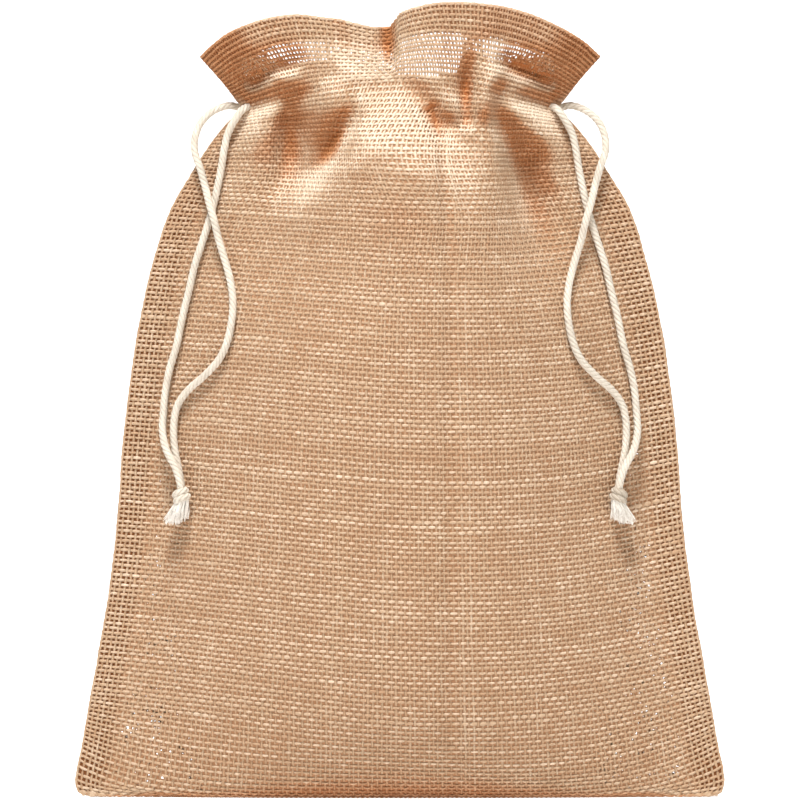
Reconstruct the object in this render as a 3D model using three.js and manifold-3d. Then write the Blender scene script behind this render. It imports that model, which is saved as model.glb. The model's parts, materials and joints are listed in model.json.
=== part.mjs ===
// A drawstring gift bag of plain-woven jute, standing on its flat base with its neck drawn in.
// Millimetres, +Z up, the front faces -Y, and X is to the right seen from the front.
// The cloth is one length folded across the bottom, sewn at both sides and hemmed at the top.
import * as THREE from "three";
import { mergeVertices } from "three/addons/utils/BufferGeometryUtils.js";
import Module from "manifold-3d";

// Cloth
const CLOTH = 1.6;
const HEM_EXTRA = 0.6;
const HEM_LENGTH = 10;
const PANEL_LENGTH = 320;
const SEAM_MARGIN = 11;
const SEAM_HALF_THICKNESS = 1.5;
const SEAM_NARROWING = 0.75;
const SEAM_NARROWS_FROM_V = 0.8;
const SEAM_FLAT_FROM_V = 0.012;
const NECK_V = 0.917;
const HALF_NECK = 61;
const HALF_MOUTH = 78.2;
const ROW_BEND = 1.8;
const BASE_ROW_BEND = 7;
const BASE_TOP_V = 0.14;
const FLOOR_PRESS = 0.4;

// The swell of a row between its side seams: how flat its middle is, and how softly it leaves the seams, down
// the body and at the neck
const SWELL_POWER = 2.4;
const SWELL_SOFT = 1.4;
const SWELL_SOFT_NECK = 1.2;
const SHOULDER_V = 0.7;
const FOLD_EDGE = 0.35;

// The crease under the frill: its half width, and the share of the width over which it fades at the seams
const CREASE_WIDE = 4.2;
const CREASE_END = 0.12;

// The part of the frill's height over which it turns from the neck's bulge to the top edge's
const FRILL_TURNS = [0, 0.74];

// How the folds widen and fade below the neck
const NECK_HEIGHT = 266;
const FOLD_SPREAD = 0.012;
const FOLD_SPREAD_REACH = 80;
const FOLD_FADE = 0.6;

// Cords
const CORD = 3.0;
const CORD_CLEARANCE = 0.4;

// The laid plies of a cord: how many, the length of one whole turn, how far they stand above the hollows
// between them, and the mesh steps to a turn, which leans to the left
const PLIES = 3;
const LAY_LENGTH = 9.6;
const PLY_RELIEF = 0.36;
const STEPS_PER_TURN = 6;

// Knots and their frayed ends
const KNOT_RADIUS = 3.9;
const KNOT_CORE = 2.6;
const KNOT_WRAPS = 2;
const KNOT_HEIGHT = 6.6;
const KNOT_SIDES = 14;
const WRAP_STEPS = 4;
const STRANDS = 22;
const STRAND_LENGTH = 9.5;
const STRAND_WIDTH = 0.9;
const STRAND_VARIES = 0.14;
const STRAND_VARIES_TURN = 2.3;
const STRAND_FLARE = 0.2;
const STRAND_LEAN = -0.3;
const STRAND_DEPTH = 1.2;
const STRAND_SPREAD = { root: 1.9, middle: 2.6, middleDeep: 2.4, end: 2.6, endDeep: 2.8 };

const JUTE = { color: 0xc8a17f, roughness: 0.95, metalness: 0 };
const COTTON = { color: 0xf3ebde, roughness: 0.9, metalness: 0 };

// A row for each section up the cloth, from the bottom fold, v = 0, to the top edge, v = 1: the half width
// between the side edges, the height of the side edges, and the height and bulge at the middle of the front
// and of the back
const SECTIONS = rows(["v", "half", "edgeZ", "frontZ", "front", "backZ", "back"], [
  [0.0, 119.0, 0.0, 0.0, 0.0, 0.0, 0.0],
  [0.012, 123.5, 1.2, 0.0, 5.0, 0.0, 5.0],
  [0.03, 125.8, 6.5, 0.0, 12.0, 0.0, 12.0],
  [0.05, 125.0, 13.0, 0.3, 18.5, 0.3, 18.5],
  [0.068, 123.6, 18.8, 4.0, 23.0, 4.0, 22.5],
  [0.1, 121.6, 30.0, 15.5, 29.0, 15.5, 26.0],
  [0.15, 118.8, 45.5, 33.0, 34.5, 33.0, 31.0],
  [0.25, 113.5, 76.0, 65.0, 39.5, 65.0, 37.0],
  [0.35, 109.6, 107.0, 97.0, 41.8, 97.0, 40.0],
  [0.45, 107.3, 138.0, 129.0, 43.0, 129.0, 41.5],
  [0.55, 103.5, 168.5, 160.5, 43.4, 160.5, 41.0],
  [0.65, 97.6, 199.5, 192.5, 42.6, 192.5, 39.0],
  [0.74, 89.5, 226.0, 220.5, 40.3, 220.5, 35.0],
  [0.8, 81.5, 240.0, 236.0, 37.6, 235.5, 31.0],
  [0.85, 74.0, 251.5, 252.5, 31.5, 250.0, 27.0],
  [0.885, 66.5, 260.5, 265.0, 25.2, 259.5, 24.5],
  [0.917, 61.0, 266.0, 276.0, 21.0, 268.0, 23.0],
  [0.93, 63.7, 269.0, 280.0, 21.0, 270.0, 26.5],
  [1.0, 78.2, 285.5, 300.0, 21.0, 279.0, 46.0],
]);

// The top edge of the front, which stands up, and of the back, which has flopped outwards: place across the
// bag, height and bulge
const FRONT_HEM = rows(["x", "z", "bulge"], [
  [-78.2, 285.5, 1.5],
  [-70.0, 292.8, 8.5],
  [-61.0, 297.7, 13.5],
  [-49.0, 301.4, 15.0],
  [-40.0, 302.3, 15.5],
  [-31.0, 301.4, 15.5],
  [-24.0, 300.5, 14.5],
  [-17.0, 298.7, 15.5],
  [-9.0, 297.2, 15.0],
  [-4.8, 297.2, 12.5],
  [-3.0, 299.3, 15.0],
  [-0.5, 302.4, 19.0],
  [8.0, 305.4, 22.0],
  [17.5, 307.0, 22.5],
  [24.0, 307.0, 21.0],
  [30.5, 306.6, 21.5],
  [43.0, 304.7, 18.0],
  [52.0, 302.0, 15.5],
  [63.5, 296.5, 12.5],
  [72.4, 291.0, 6.5],
  [78.2, 285.5, 1.5],
]);
const BACK_HEM = rows(["x", "z", "bulge"], [
  [-78.2, 285.5, 1.5],
  [-66.0, 286.0, 13.0],
  [-50.0, 283.5, 29.0],
  [-31.0, 280.0, 42.0],
  [-16.0, 278.0, 46.0],
  [-4.0, 279.5, 41.0],
  [10.0, 277.0, 47.0],
  [26.0, 279.5, 42.5],
  [34.0, 280.5, 40.0],
  [52.0, 284.0, 28.0],
  [67.0, 286.0, 12.5],
  [78.2, 285.5, 1.5],
]);

// The crease under the frill, alike at the front and the back and on both sides: place across the bag from
// the middle, height and depth
const CREASE = rows(["x", "z", "deep"], [
  [0.0, 284.0, 0.0],
  [34.0, 284.0, 0.0],
  [45.0, 282.0, 5.0],
  [53.0, 279.5, 6.0],
  [61.0, 275.0, 4.0],
  [70.0, 271.0, 2.0],
]);

// A row for each fold that runs down from the gathered neck: its place across the bag at five heights, its
// half width and height at the neck, negative for a groove, the heights between which it shows, and how
// slowly it ends at the top
const FOLD_COLUMNS = ["x281", "x266", "x250", "x230", "x205", "wide", "high", "low", "top", "fade"];
const FOLD_HEIGHTS = [205, 230, 250, 266, 281];
const FRONT_FOLDS = rows(FOLD_COLUMNS, [
  [-44, -50.5, -57.5, -56, -55, 7.0, 5.5, 243, 280, 7],
  [-49.5, -43, -42, -44, -52.5, 5.4, -6.5, 222, 265, 19],
  [-27.5, -26, -25, -29, -37, 7.0, 4.0, 235, 274, 6],
  [-41.5, -34.5, -35, -42, -47, 16.5, -10.5, 170, 256, 16],
  [-26.5, -18.5, -25.5, -37, -46.5, 7.0, -5.5, 218, 262, 16],
  [-19.5, -18, -15, -32, -39, 9.2, 4.0, 203, 283, 26],
  [6.5, 3.5, -1.5, -1, -1.5, 15.4, 4.0, 207, 282, 22],
  [-2.5, 12, 22.5, 24, 21.5, 5.6, -3.5, 216, 269, 13],
  [25, 25.4, 26, 27, 27, 2.4, -3.0, 256, 280, 9],
  [33, 34, 36.5, 41, 41, 6.6, 6.0, 224, 283, 11],
  [37, 36, 38.5, 48, 56, 8.0, -7.0, 190, 261, 10],
  [41.5, 46, 58.5, 60, 64, 10.4, 7.5, 244, 274, 12],
  [51, 52, 49, 56, 61, 10.0, -10.5, 182, 244, 24],
]);
const BACK_FOLDS = rows(FOLD_COLUMNS, [
  [-48, -46, -47, -50, -56, 5.5, 4.5, 215, 276, 9],
  [-38, -36, -35, -36, -40, 4.0, -5.5, 205, 276, 9],
  [-26, -25, -24, -24, -26, 5.5, 5.0, 195, 278, 9],
  [-13, -12, -10, -9, -8, 4.0, -6.0, 210, 278, 9],
  [-2, 0, 2, 4, 6, 5.5, 4.0, 190, 276, 9],
  [11, 12, 15, 19, 26, 4.0, -5.5, 200, 278, 9],
  [22, 23, 26, 31, 40, 5.5, 5.5, 190, 278, 9],
  [34, 35, 38, 43, 52, 4.5, -5.5, 208, 276, 9],
  [46, 46, 48, 52, 58, 5.5, 4.0, 220, 274, 9],
]);

const FRONT = { way: -1, z: "frontZ", bulge: "front", hem: FRONT_HEM, folds: FRONT_FOLDS };
const BACK = { way: 1, z: "backZ", bulge: "back", hem: BACK_HEM, folds: BACK_FOLDS };

// The two free ends of the left cord, from the neck to the knot: place across the bag, height, and height
// above the cloth. A row with a y stands free of the cloth. The right cord mirrors them.
const LOOP_ROUTE = rows(["x", "z", "lift", "y"], [
  [-62.2, 266.4, 0, 3.1],
  [-65.6, 267.0, 0, 2.4],
  [-70.1, 265.9, 0, 1.6],
  [-74.7, 262.9, 0, 0.4],
  [-77.8, 258.7, 0, -1.2],
  [-79.3, 253.3, 0, -2.8],
  [-79.1, 248.6, 0, -4.0],
  [-77.2, 243.0, 0, -4.8],
  [-75.1, 235.5, 1.6],
  [-73.4, 228.6, 3.7],
  [-71.6, 222.4, 3.7],
  [-69.7, 214.7, 1.6],
  [-67.0, 205.8, 0],
  [-65.1, 198.1, 0],
  [-64.3, 191.1, 0],
  [-64.7, 184.2, 0],
  [-66.6, 175.3, 0],
  [-69.8, 168.7, 0],
  [-75.5, 162.5, 0],
  [-81.6, 157.1, 0],
  [-85.5, 151.7, 0],
  [-87.0, 145.9, 0],
  [-87.2, 138.6, 0],
  [-86.6, 132.8, 0],
  [-85.4, 127.0, 0],
  [-84.4, 121.2, 0],
]);
const STRAIGHT_ROUTE = rows(["x", "z", "lift", "y"], [
  [-60.9, 265.2, 0, -4.1],
  [-63.8, 261.2, 0, -4.3],
  [-66.4, 256.0, 0],
  [-67.8, 250.2, 0.3],
  [-69.0, 242.5, 0.6],
  [-70.4, 235.5, 0.3],
  [-71.8, 229.0, 0],
  [-74.7, 218.9, 0],
  [-77.0, 212.0, 0],
  [-79.3, 204.6, 0],
  [-81.4, 195.4, 0],
  [-83.6, 186.5, 0],
  [-86.3, 173.7, 0],
  [-88.8, 165.3, 0],
  [-90.5, 156.4, 0],
  [-91.2, 148.3, 0],
  [-91.6, 141.7, 0.9],
  [-90.0, 134.0, 3.2],
  [-86.4, 127.0, 3.8],
  [-84.7, 121.5, 3.6],
]);
const KNOT_PLACE = { x: -84.2, z: 116.7, leanX: -0.22 };

// Rows of the mesh up the cloth, and columns between the side seams
const MESH_V = [
  0, 0.012, 0.03, 0.05, 0.068, 0.1, 0.16, 0.25, 0.36, 0.48, 0.58, 0.66, 0.72, 0.76, 0.795, 0.825, 0.85,
  0.868, 0.886, 0.902, 0.917, 0.93, 0.943, 0.957, 0.972, 0.986, 1,
];
const MESH_COLUMNS = 46;
const MARGIN_COLUMNS = 2;
const ROW_SAMPLES = 240;
const INNER_LEAST_BULGE = 0.4;
const FLOOR_BLEND = 25;
const HEM_BLEND_V = 0.01;
const SEARCH_FROM_V = 0.05;
const SEARCH_TURNS = 40;
const SLOPE_STEP = 1.0;

const wasm = await Module();
wasm.setup();

function rows(names, values) {
  return values.map((row) => Object.fromEntries(names.map((name, i) => [name, row[i]])));
}

function ease(low, high, x) {
  const t = Math.min(Math.max((x - low) / (high - low), 0), 1);
  return t * t * (3 - 2 * t);
}

// A smooth curve through a table that never overshoots its values
function curveThrough(knots, values) {
  const last = knots.length - 1;
  const gap = knots.slice(1).map((k, i) => k - knots[i]);
  const slope = gap.map((h, i) => (values[i + 1] - values[i]) / h);
  const tangent = knots.map((_, i) => {
    if (i === 0) return slope[0];
    if (i === last) return slope[last - 1];
    const before = slope[i - 1];
    const after = slope[i];
    if (before * after <= 0) return 0;
    const first = 2 * gap[i] + gap[i - 1];
    const second = gap[i] + 2 * gap[i - 1];
    return (first + second) / (first / before + second / after);
  });
  return (x) => {
    const at = Math.min(Math.max(x, knots[0]), knots[last]);
    let k = last - 1;
    while (k > 0 && at < knots[k]) k -= 1;
    const t = (at - knots[k]) / gap[k];
    const s = 1 - t;
    return (1 + 2 * t) * s * s * values[k] + t * s * s * gap[k] * tangent[k]
      + t * t * (3 - 2 * t) * values[k + 1] - t * t * s * gap[k] * tangent[k + 1];
  };
}

function columnCurve(table, key, column) {
  return curveThrough(table.map((row) => row[key]), table.map((row) => row[column]));
}

// A curve for each column of a table, over one of them
function columnCurves(table, key) {
  return Object.fromEntries(Object.keys(table[0]).map((column) => [column, columnCurve(table, key, column)]));
}

const section = columnCurves(SECTIONS, "v");
const crease = columnCurves(CREASE, "x");

for (const panel of [FRONT, BACK]) {
  panel.hemZ = columnCurve(panel.hem, "x", "z");
  panel.hemBulge = columnCurve(panel.hem, "x", "bulge");
  panel.paths = panel.folds.map((fold) => ({
    ...fold,
    at: curveThrough(FOLD_HEIGHTS, FOLD_HEIGHTS.map((z) => fold[`x${z}`])),
  }));
}

// How far the folds lift the cloth at a place across the bag and a height
function foldLift(panel, x, z) {
  let lift = 0;
  for (const fold of panel.paths) {
    const below = Math.min(Math.max(NECK_HEIGHT - z, 0), FOLD_SPREAD_REACH);
    const wide = fold.wide * (1 + FOLD_SPREAD * below);
    const up = ease(fold.low, fold.low + FOLD_FADE * (NECK_HEIGHT - fold.low), z);
    const down = 1 - ease(fold.top - fold.fade / 2, fold.top + fold.fade, z);
    lift += fold.high * up * down * Math.exp(-(((x - fold.at(z)) / wide) ** 2));
  }
  return lift;
}

// The side seams' flat margins narrow where the neck is drawn in
function seamMargin(v) {
  return SEAM_MARGIN * (1 - SEAM_NARROWING * ease(SEAM_NARROWS_FROM_V, NECK_V, v));
}

function swell(s, v) {
  const soft = SWELL_SOFT + (SWELL_SOFT_NECK - SWELL_SOFT) * ease(SHOULDER_V, NECK_V, v);
  return (1 - s ** SWELL_POWER) ** soft;
}

// The height of a row at a share of the way from the middle to the side edge. On the base it is pressed flat.
function rowHeight(panel, across, v) {
  const middle = section[panel.z](v);
  const bend = BASE_ROW_BEND + (ROW_BEND - BASE_ROW_BEND) * ease(0, BASE_TOP_V, v);
  const z = middle + (section.edgeZ(v) - middle) * across ** bend;
  return Math.max(z - FLOOR_PRESS * (1 - ease(0.5 * BASE_TOP_V, BASE_TOP_V, v)), 0);
}

// The cloth at a place across the bag on the row v: its height and its bulge out from the side seams' plane.
// Above the neck the frill runs from the gathered row to the top edge.
function clothAt(panel, x, v) {
  const half = section.half(v);
  const low = Math.min(v, NECK_V);
  const rise = (v - low) / (1 - NECK_V);
  const neckX = v > NECK_V ? (x * HALF_NECK) / half : x;
  const hemX = (x * HALF_MOUTH) / half;
  const s = Math.min(Math.abs(neckX) / ((v > NECK_V ? HALF_NECK : half) - seamMargin(low)), 1);
  const flat = SEAM_HALF_THICKNESS * ease(0, SEAM_FLAT_FROM_V, v);
  const neckZ = rowHeight(panel, Math.abs(x) / half, low);
  const neckBulge = flat + (section[panel.bulge](low) - flat) * swell(s, low);
  const z = neckZ + (panel.hemZ(hemX) - neckZ) * rise;
  const frill = (panel.hemBulge(hemX) - neckBulge) * ease(...FRILL_TURNS, rise);
  const above = (z - crease.z(Math.abs(x))) / CREASE_WIDE;
  const creased = crease.deep(Math.abs(x)) * ease(0, CREASE_END, 1 - s) * Math.exp(-(above ** 2));
  const folds = foldLift(panel, neckX, z) * ease(0, FOLD_EDGE, 1 - s);
  return { z, bulge: neckBulge + frill - creased + folds };
}

// One row of the cloth's outer face: the flat seam margins, and between them points evenly spaced along it
function clothRow(panel, v) {
  const half = section.half(v);
  const margin = seamMargin(v);
  const seam = half - margin;
  const samples = [];
  for (let i = 0; i <= ROW_SAMPLES; i += 1) {
    const x = seam * ((2 * i) / ROW_SAMPLES - 1);
    const { z, bulge } = clothAt(panel, x, v);
    const before = samples[i - 1];
    const along = before ? before.along + Math.hypot(x - before.x, bulge - before.bulge) : 0;
    samples.push({ x, z, bulge, along });
  }
  const total = samples[ROW_SAMPLES].along;
  const placed = (x) => {
    const { z, bulge } = clothAt(panel, x, v);
    return new THREE.Vector3(x, panel.way * bulge, z);
  };
  const inner = [];
  let k = 0;
  for (let c = 0; c <= MESH_COLUMNS; c += 1) {
    const wanted = (total * c) / MESH_COLUMNS;
    while (k < ROW_SAMPLES - 1 && samples[k + 1].along < wanted) k += 1;
    const a = samples[k];
    const b = samples[k + 1];
    const x = a.x + ((b.x - a.x) * (wanted - a.along)) / (b.along - a.along);
    inner.push(placed(x));
  }
  const left = [];
  const right = [];
  for (let c = 0; c < MARGIN_COLUMNS; c += 1) {
    const out = half - (margin * c) / MARGIN_COLUMNS;
    left.push(placed(-out));
    right.unshift(placed(out));
  }
  return [...left, ...inner, ...right];
}

// Outward normals of a panel's grid of points
function gridNormals(panel, grid) {
  return grid.map((row, j) => row.map((_, i) => {
    const up = grid[Math.min(j + 1, grid.length - 1)][i].clone().sub(grid[Math.max(j - 1, 0)][i]);
    const over = row[Math.min(i + 1, row.length - 1)].clone().sub(row[Math.max(i - 1, 0)]);
    const normal = over.cross(up).normalize();
    return panel.way < 0 ? normal : normal.negate();
  }));
}

// The inner face of a panel between its seams: the outer face moved in by the cloth's thickness, kept off the
// middle plane, and meeting the other panel's inner face along the seams and the bottom fold
function innerFace(panel, grid) {
  const normals = gridNormals(panel, grid);
  const first = MARGIN_COLUMNS;
  const last = first + MESH_COLUMNS;
  const hemV = 1 - HEM_LENGTH / PANEL_LENGTH;
  return grid.map((row, j) => row.slice(first, last + 1).map((point, c) => {
    const thick = CLOTH + HEM_EXTRA * ease(hemV - HEM_BLEND_V, hemV + HEM_BLEND_V, MESH_V[j]);
    const onFold = j === 0;
    const onSeam = c === 0 || c === MESH_COLUMNS;
    if (onSeam) {
      const lift = thick * (1 - ease(0, FLOOR_BLEND, point.z));
      return new THREE.Vector3(point.x, 0, point.z + lift);
    }
    const inside = point.clone().addScaledVector(normals[j][first + c], -thick);
    if (onFold) return new THREE.Vector3(point.x, 0, thick);
    inside.y = panel.way * Math.max(panel.way * inside.y, INNER_LEAST_BULGE);
    return inside;
  }));
}

// Collects points and triangles of one closed body
class Body {
  constructor() {
    this.positions = [];
    this.triangles = [];
  }

  add(point) {
    this.positions.push(point.x, point.y, point.z);
    return this.positions.length / 3 - 1;
  }

  addGrid(points) {
    return points.map((row) => row.map((point) => this.add(point)));
  }

  triangle(a, b, c) {
    if (a !== b && b !== c && c !== a) this.triangles.push(a, b, c);
  }

  quad(a, b, c, d) {
    this.triangle(a, b, c);
    this.triangle(a, c, d);
  }

  // The quads of a grid of indices, turned over where its face looks the other way
  faces(grid, turned) {
    for (let j = 0; j + 1 < grid.length; j += 1) {
      for (let i = 0; i + 1 < grid[j].length; i += 1) {
        const corners = [grid[j][i], grid[j][i + 1], grid[j + 1][i + 1], grid[j + 1][i]];
        if (turned) corners.reverse();
        this.quad(...corners);
      }
    }
  }

  geometry() {
    const geometry = new THREE.BufferGeometry();
    geometry.setAttribute("position", new THREE.Float32BufferAttribute(this.positions, 3));
    geometry.setIndex(this.triangles);
    geometry.computeVertexNormals();
    return geometry;
  }
}

// The bag's cloth as one shell, open at the mouth
function bagShell() {
  const frontPoints = MESH_V.map((v) => clothRow(FRONT, v));
  const backPoints = MESH_V.map((v) => clothRow(BACK, v));
  const body = new Body();
  const front = body.addGrid(frontPoints);
  const back = body.addGrid(backPoints);
  back[0] = front[0];
  body.faces(front, false);
  body.faces(back, true);

  const innerFront = body.addGrid(innerFace(FRONT, frontPoints));
  const innerBack = body.addGrid(innerFace(BACK, backPoints));
  innerBack[0] = innerFront[0];
  for (let j = 0; j < innerBack.length; j += 1) {
    innerBack[j][0] = innerFront[j][0];
    innerBack[j][MESH_COLUMNS] = innerFront[j][MESH_COLUMNS];
  }
  body.faces(innerFront, true);
  body.faces(innerBack, false);

  // The cut edges of the side margins
  const end = front[0].length - 1;
  for (let j = 0; j + 1 < front.length; j += 1) {
    body.quad(back[j][0], front[j][0], front[j + 1][0], back[j + 1][0]);
    body.quad(front[j][end], back[j][end], back[j + 1][end], front[j + 1][end]);
  }

  // The top edge, round the mouth and across the two side margins
  const top = front.length - 1;
  const firstSeam = MARGIN_COLUMNS;
  const lastSeam = MARGIN_COLUMNS + MESH_COLUMNS;
  for (let i = 0; i < end; i += 1) {
    const c = i - firstSeam;
    if (c >= 0 && i < lastSeam) {
      body.quad(front[top][i], front[top][i + 1], innerFront[top][c + 1], innerFront[top][c]);
      body.quad(back[top][i + 1], back[top][i], innerBack[top][c], innerBack[top][c + 1]);
    } else {
      body.quad(front[top][i], front[top][i + 1], back[top][i + 1], back[top][i]);
    }
  }
  body.triangle(front[top][firstSeam], innerFront[top][0], back[top][firstSeam]);
  body.triangle(front[top][lastSeam], back[top][lastSeam], innerFront[top][MESH_COLUMNS]);
  return body.geometry();
}

// The front's row that passes through a place across the bag and a height
function rowThrough(x, z) {
  let low = SEARCH_FROM_V;
  let high = NECK_V;
  for (let turn = 0; turn < SEARCH_TURNS; turn += 1) {
    const middle = (low + high) / 2;
    if (clothAt(FRONT, x, middle).z < z) low = middle;
    else high = middle;
  }
  return (low + high) / 2;
}

function frontBulge(x, z) {
  return clothAt(FRONT, x, rowThrough(x, z)).bulge;
}

function frontSlopes(x, z) {
  return {
    x: (frontBulge(x + SLOPE_STEP, z) - frontBulge(x - SLOPE_STEP, z)) / (2 * SLOPE_STEP),
    z: (frontBulge(x, z + SLOPE_STEP) - frontBulge(x, z - SLOPE_STEP)) / (2 * SLOPE_STEP),
  };
}

// A point that stands a given height above the front's cloth, measured square to it
function aboveCloth(x, z, height) {
  const slope = frontSlopes(x, z);
  const reach = height * Math.hypot(1, slope.x, slope.z);
  return new THREE.Vector3(x, -(frontBulge(x, z) + reach), z);
}

function routePoint(row, side) {
  const x = side * -row.x;
  if (row.y !== undefined) return new THREE.Vector3(x, row.y, row.z);
  return aboveCloth(x, row.z, CORD / 2 + CORD_CLEARANCE + row.lift);
}

function roundSection(radius, sides) {
  const shape = new THREE.Shape();
  for (let i = 0; i < sides; i += 1) {
    const angle = (2 * Math.PI * i) / sides;
    const x = radius * Math.cos(angle);
    const y = radius * Math.sin(angle);
    if (i === 0) shape.moveTo(x, y);
    else shape.lineTo(x, y);
  }
  shape.closePath();
  return shape;
}

// A cord with its plies raised: each ply is a ridge that winds round the cord between two hollows
function laidCord(route, side) {
  const path = new THREE.CatmullRomCurve3(route.map((row) => routePoint(row, side)), false, "centripetal");
  const steps = Math.round((path.getLength() * STEPS_PER_TURN) / LAY_LENGTH);
  const { normals, binormals } = path.computeFrenetFrames(steps, false);
  const columns = 2 * PLIES;
  const body = new Body();
  const rings = normals.map((normal, j) => {
    const centre = path.getPointAt(j / steps);
    const ring = [];
    for (let i = 0; i < columns; i += 1) {
      const angle = 2 * Math.PI * (i / columns - j / STEPS_PER_TURN);
      const radius = CORD / 2 - PLY_RELIEF * (i % 2);
      const out = normal.clone().multiplyScalar(radius * Math.cos(angle));
      out.addScaledVector(binormals[j], radius * Math.sin(angle));
      ring.push(body.add(out.add(centre)));
    }
    return [...ring, ring[0]];
  });
  body.faces(rings, false);
  for (let i = 1; i + 1 < columns; i += 1) {
    body.triangle(rings[0][0], rings[0][i + 1], rings[0][i]);
    body.triangle(rings[steps][0], rings[steps][i], rings[steps][i + 1]);
  }
  return body.geometry();
}

// A closed mesh as a solid that can be joined to others
function solid(geometry) {
  const bare = geometry.clone();
  bare.deleteAttribute("normal");
  bare.deleteAttribute("uv");
  const merged = mergeVertices(bare, 1e-4);
  return new wasm.Manifold(new wasm.Mesh({
    numProp: 3,
    vertProperties: new Float32Array(merged.attributes.position.array),
    triVerts: new Uint32Array(merged.index.array),
  }));
}

function geometryOf(manifold) {
  const mesh = manifold.getMesh();
  const geometry = new THREE.BufferGeometry();
  geometry.setAttribute("position", new THREE.Float32BufferAttribute(mesh.vertProperties, 3));
  geometry.setIndex([...mesh.triVerts]);
  geometry.computeVertexNormals();
  return geometry;
}

// The knot's wraps, turned about +Z with the cords entering at the top
function knotWraps() {
  const profile = [new THREE.Vector2(0, -KNOT_HEIGHT / 2)];
  const wrap = KNOT_HEIGHT / KNOT_WRAPS;
  for (let w = 0; w < KNOT_WRAPS; w += 1) {
    for (let i = 0; i <= WRAP_STEPS; i += 1) {
      if (w > 0 && i === 0) continue;
      const radius = KNOT_CORE + (KNOT_RADIUS - KNOT_CORE) * Math.sqrt(Math.sin((Math.PI * i) / WRAP_STEPS));
      profile.push(new THREE.Vector2(radius, -KNOT_HEIGHT / 2 + wrap * (w + i / WRAP_STEPS)));
    }
  }
  profile.push(new THREE.Vector2(0, KNOT_HEIGHT / 2));
  return new THREE.LatheGeometry(profile, KNOT_SIDES);
}

// One frayed strand, rooted in the knot and flaring out below it
function strand(index, side) {
  const golden = Math.PI * (3 - Math.sqrt(5));
  const out = Math.sqrt((index + 0.5) / STRANDS);
  const angle = index * golden;
  const across = Math.cos(angle) * out;
  const deep = Math.sin(angle) * out;
  const root = -KNOT_HEIGHT / 2 + STRAND_DEPTH;
  const reach = STRAND_LENGTH * (1 - STRAND_VARIES * (1 - Math.cos(index * STRAND_VARIES_TURN)));
  const { root: start, middle, middleDeep, end, endDeep } = STRAND_SPREAD;
  const tipX = across * (end + reach * STRAND_FLARE) - side * STRAND_LEAN * reach;
  const path = new THREE.QuadraticBezierCurve3(
    new THREE.Vector3(across * start, deep * start, root),
    new THREE.Vector3(across * middle, deep * middleDeep, root - reach / 2),
    new THREE.Vector3(tipX, deep * endDeep, root - reach),
  );
  return new THREE.ExtrudeGeometry(roundSection(STRAND_WIDTH / 2, 4), {
    steps: 2,
    curveSegments: 1,
    bevelEnabled: false,
    extrudePath: path,
  });
}

function endKnot(side) {
  let joined = solid(knotWraps());
  for (let i = 0; i < STRANDS; i += 1) joined = joined.add(solid(strand(i, side)));
  const geometry = geometryOf(joined);
  const x = side * -KNOT_PLACE.x;
  const place = aboveCloth(x, KNOT_PLACE.z, KNOT_RADIUS + CORD_CLEARANCE);
  geometry.rotateY(Math.atan(-side * KNOT_PLACE.leanX));
  geometry.rotateZ(-Math.atan(frontSlopes(x, KNOT_PLACE.z).x));
  geometry.translate(place.x, place.y, place.z);
  return geometry;
}

function piece(name, geometry, finish) {
  const mesh = new THREE.Mesh(geometry, new THREE.MeshStandardMaterial(finish));
  mesh.name = name;
  return mesh;
}

const bag = new THREE.Group();
const body = piece("bag_body", bagShell(), JUTE);
bag.add(body);
for (const [side, word] of [[-1, "left"], [1, "right"]]) {
  bag.add(piece(`${word}_cord_loop`, laidCord(LOOP_ROUTE, side), COTTON));
  bag.add(piece(`${word}_cord_straight`, laidCord(STRAIGHT_ROUTE, side), COTTON));
  bag.add(piece(`${word}_end_knot`, endKnot(side), COTTON));
}

// The origin lies on the floor below the middle of the bag's own depth
body.geometry.computeBoundingBox();
const { min, max } = body.geometry.boundingBox;
bag.position.y = -(min.y + max.y) / 2;

export default bag;
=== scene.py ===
"""Dresses the jute gift bag: weaves its cloth yarn by yarn, lays and knots its cords, and sets a studio.

Sizes in the tables are millimetres. +Z is up, the front faces -Y, and X is to the right from the front.
"""

import json
import math

import bmesh
import bpy
import numpy as np
from bpy.props import FloatProperty, FloatVectorProperty, IntProperty, PointerProperty
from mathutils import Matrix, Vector

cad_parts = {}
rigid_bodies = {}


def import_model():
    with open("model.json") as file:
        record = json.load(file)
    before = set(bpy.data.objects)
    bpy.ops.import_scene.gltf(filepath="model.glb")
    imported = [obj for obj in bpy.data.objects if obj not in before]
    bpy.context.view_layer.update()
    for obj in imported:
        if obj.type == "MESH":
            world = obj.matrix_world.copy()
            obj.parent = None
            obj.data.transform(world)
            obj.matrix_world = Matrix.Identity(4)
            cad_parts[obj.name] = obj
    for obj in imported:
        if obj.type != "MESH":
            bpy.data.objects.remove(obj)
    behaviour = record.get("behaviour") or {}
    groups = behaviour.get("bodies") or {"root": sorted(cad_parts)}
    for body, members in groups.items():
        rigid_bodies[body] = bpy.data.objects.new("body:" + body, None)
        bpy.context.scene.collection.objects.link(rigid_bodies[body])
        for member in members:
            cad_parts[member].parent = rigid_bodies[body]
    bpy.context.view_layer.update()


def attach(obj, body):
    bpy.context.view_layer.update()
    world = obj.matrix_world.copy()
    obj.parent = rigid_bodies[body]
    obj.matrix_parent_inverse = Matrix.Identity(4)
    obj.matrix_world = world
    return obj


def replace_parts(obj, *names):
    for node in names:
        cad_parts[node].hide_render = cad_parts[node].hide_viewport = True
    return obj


bl_info = {
    "name": "Jute gift bag",
    "version": (1, 0, 0),
    "blender": (4, 5, 0),
    "location": "View3D > Sidebar > Gift bag",
    "description": "Weaves the cloth, lays the cords and ties the knots of a drawstring bag",
    "category": "Object",
}

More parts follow.
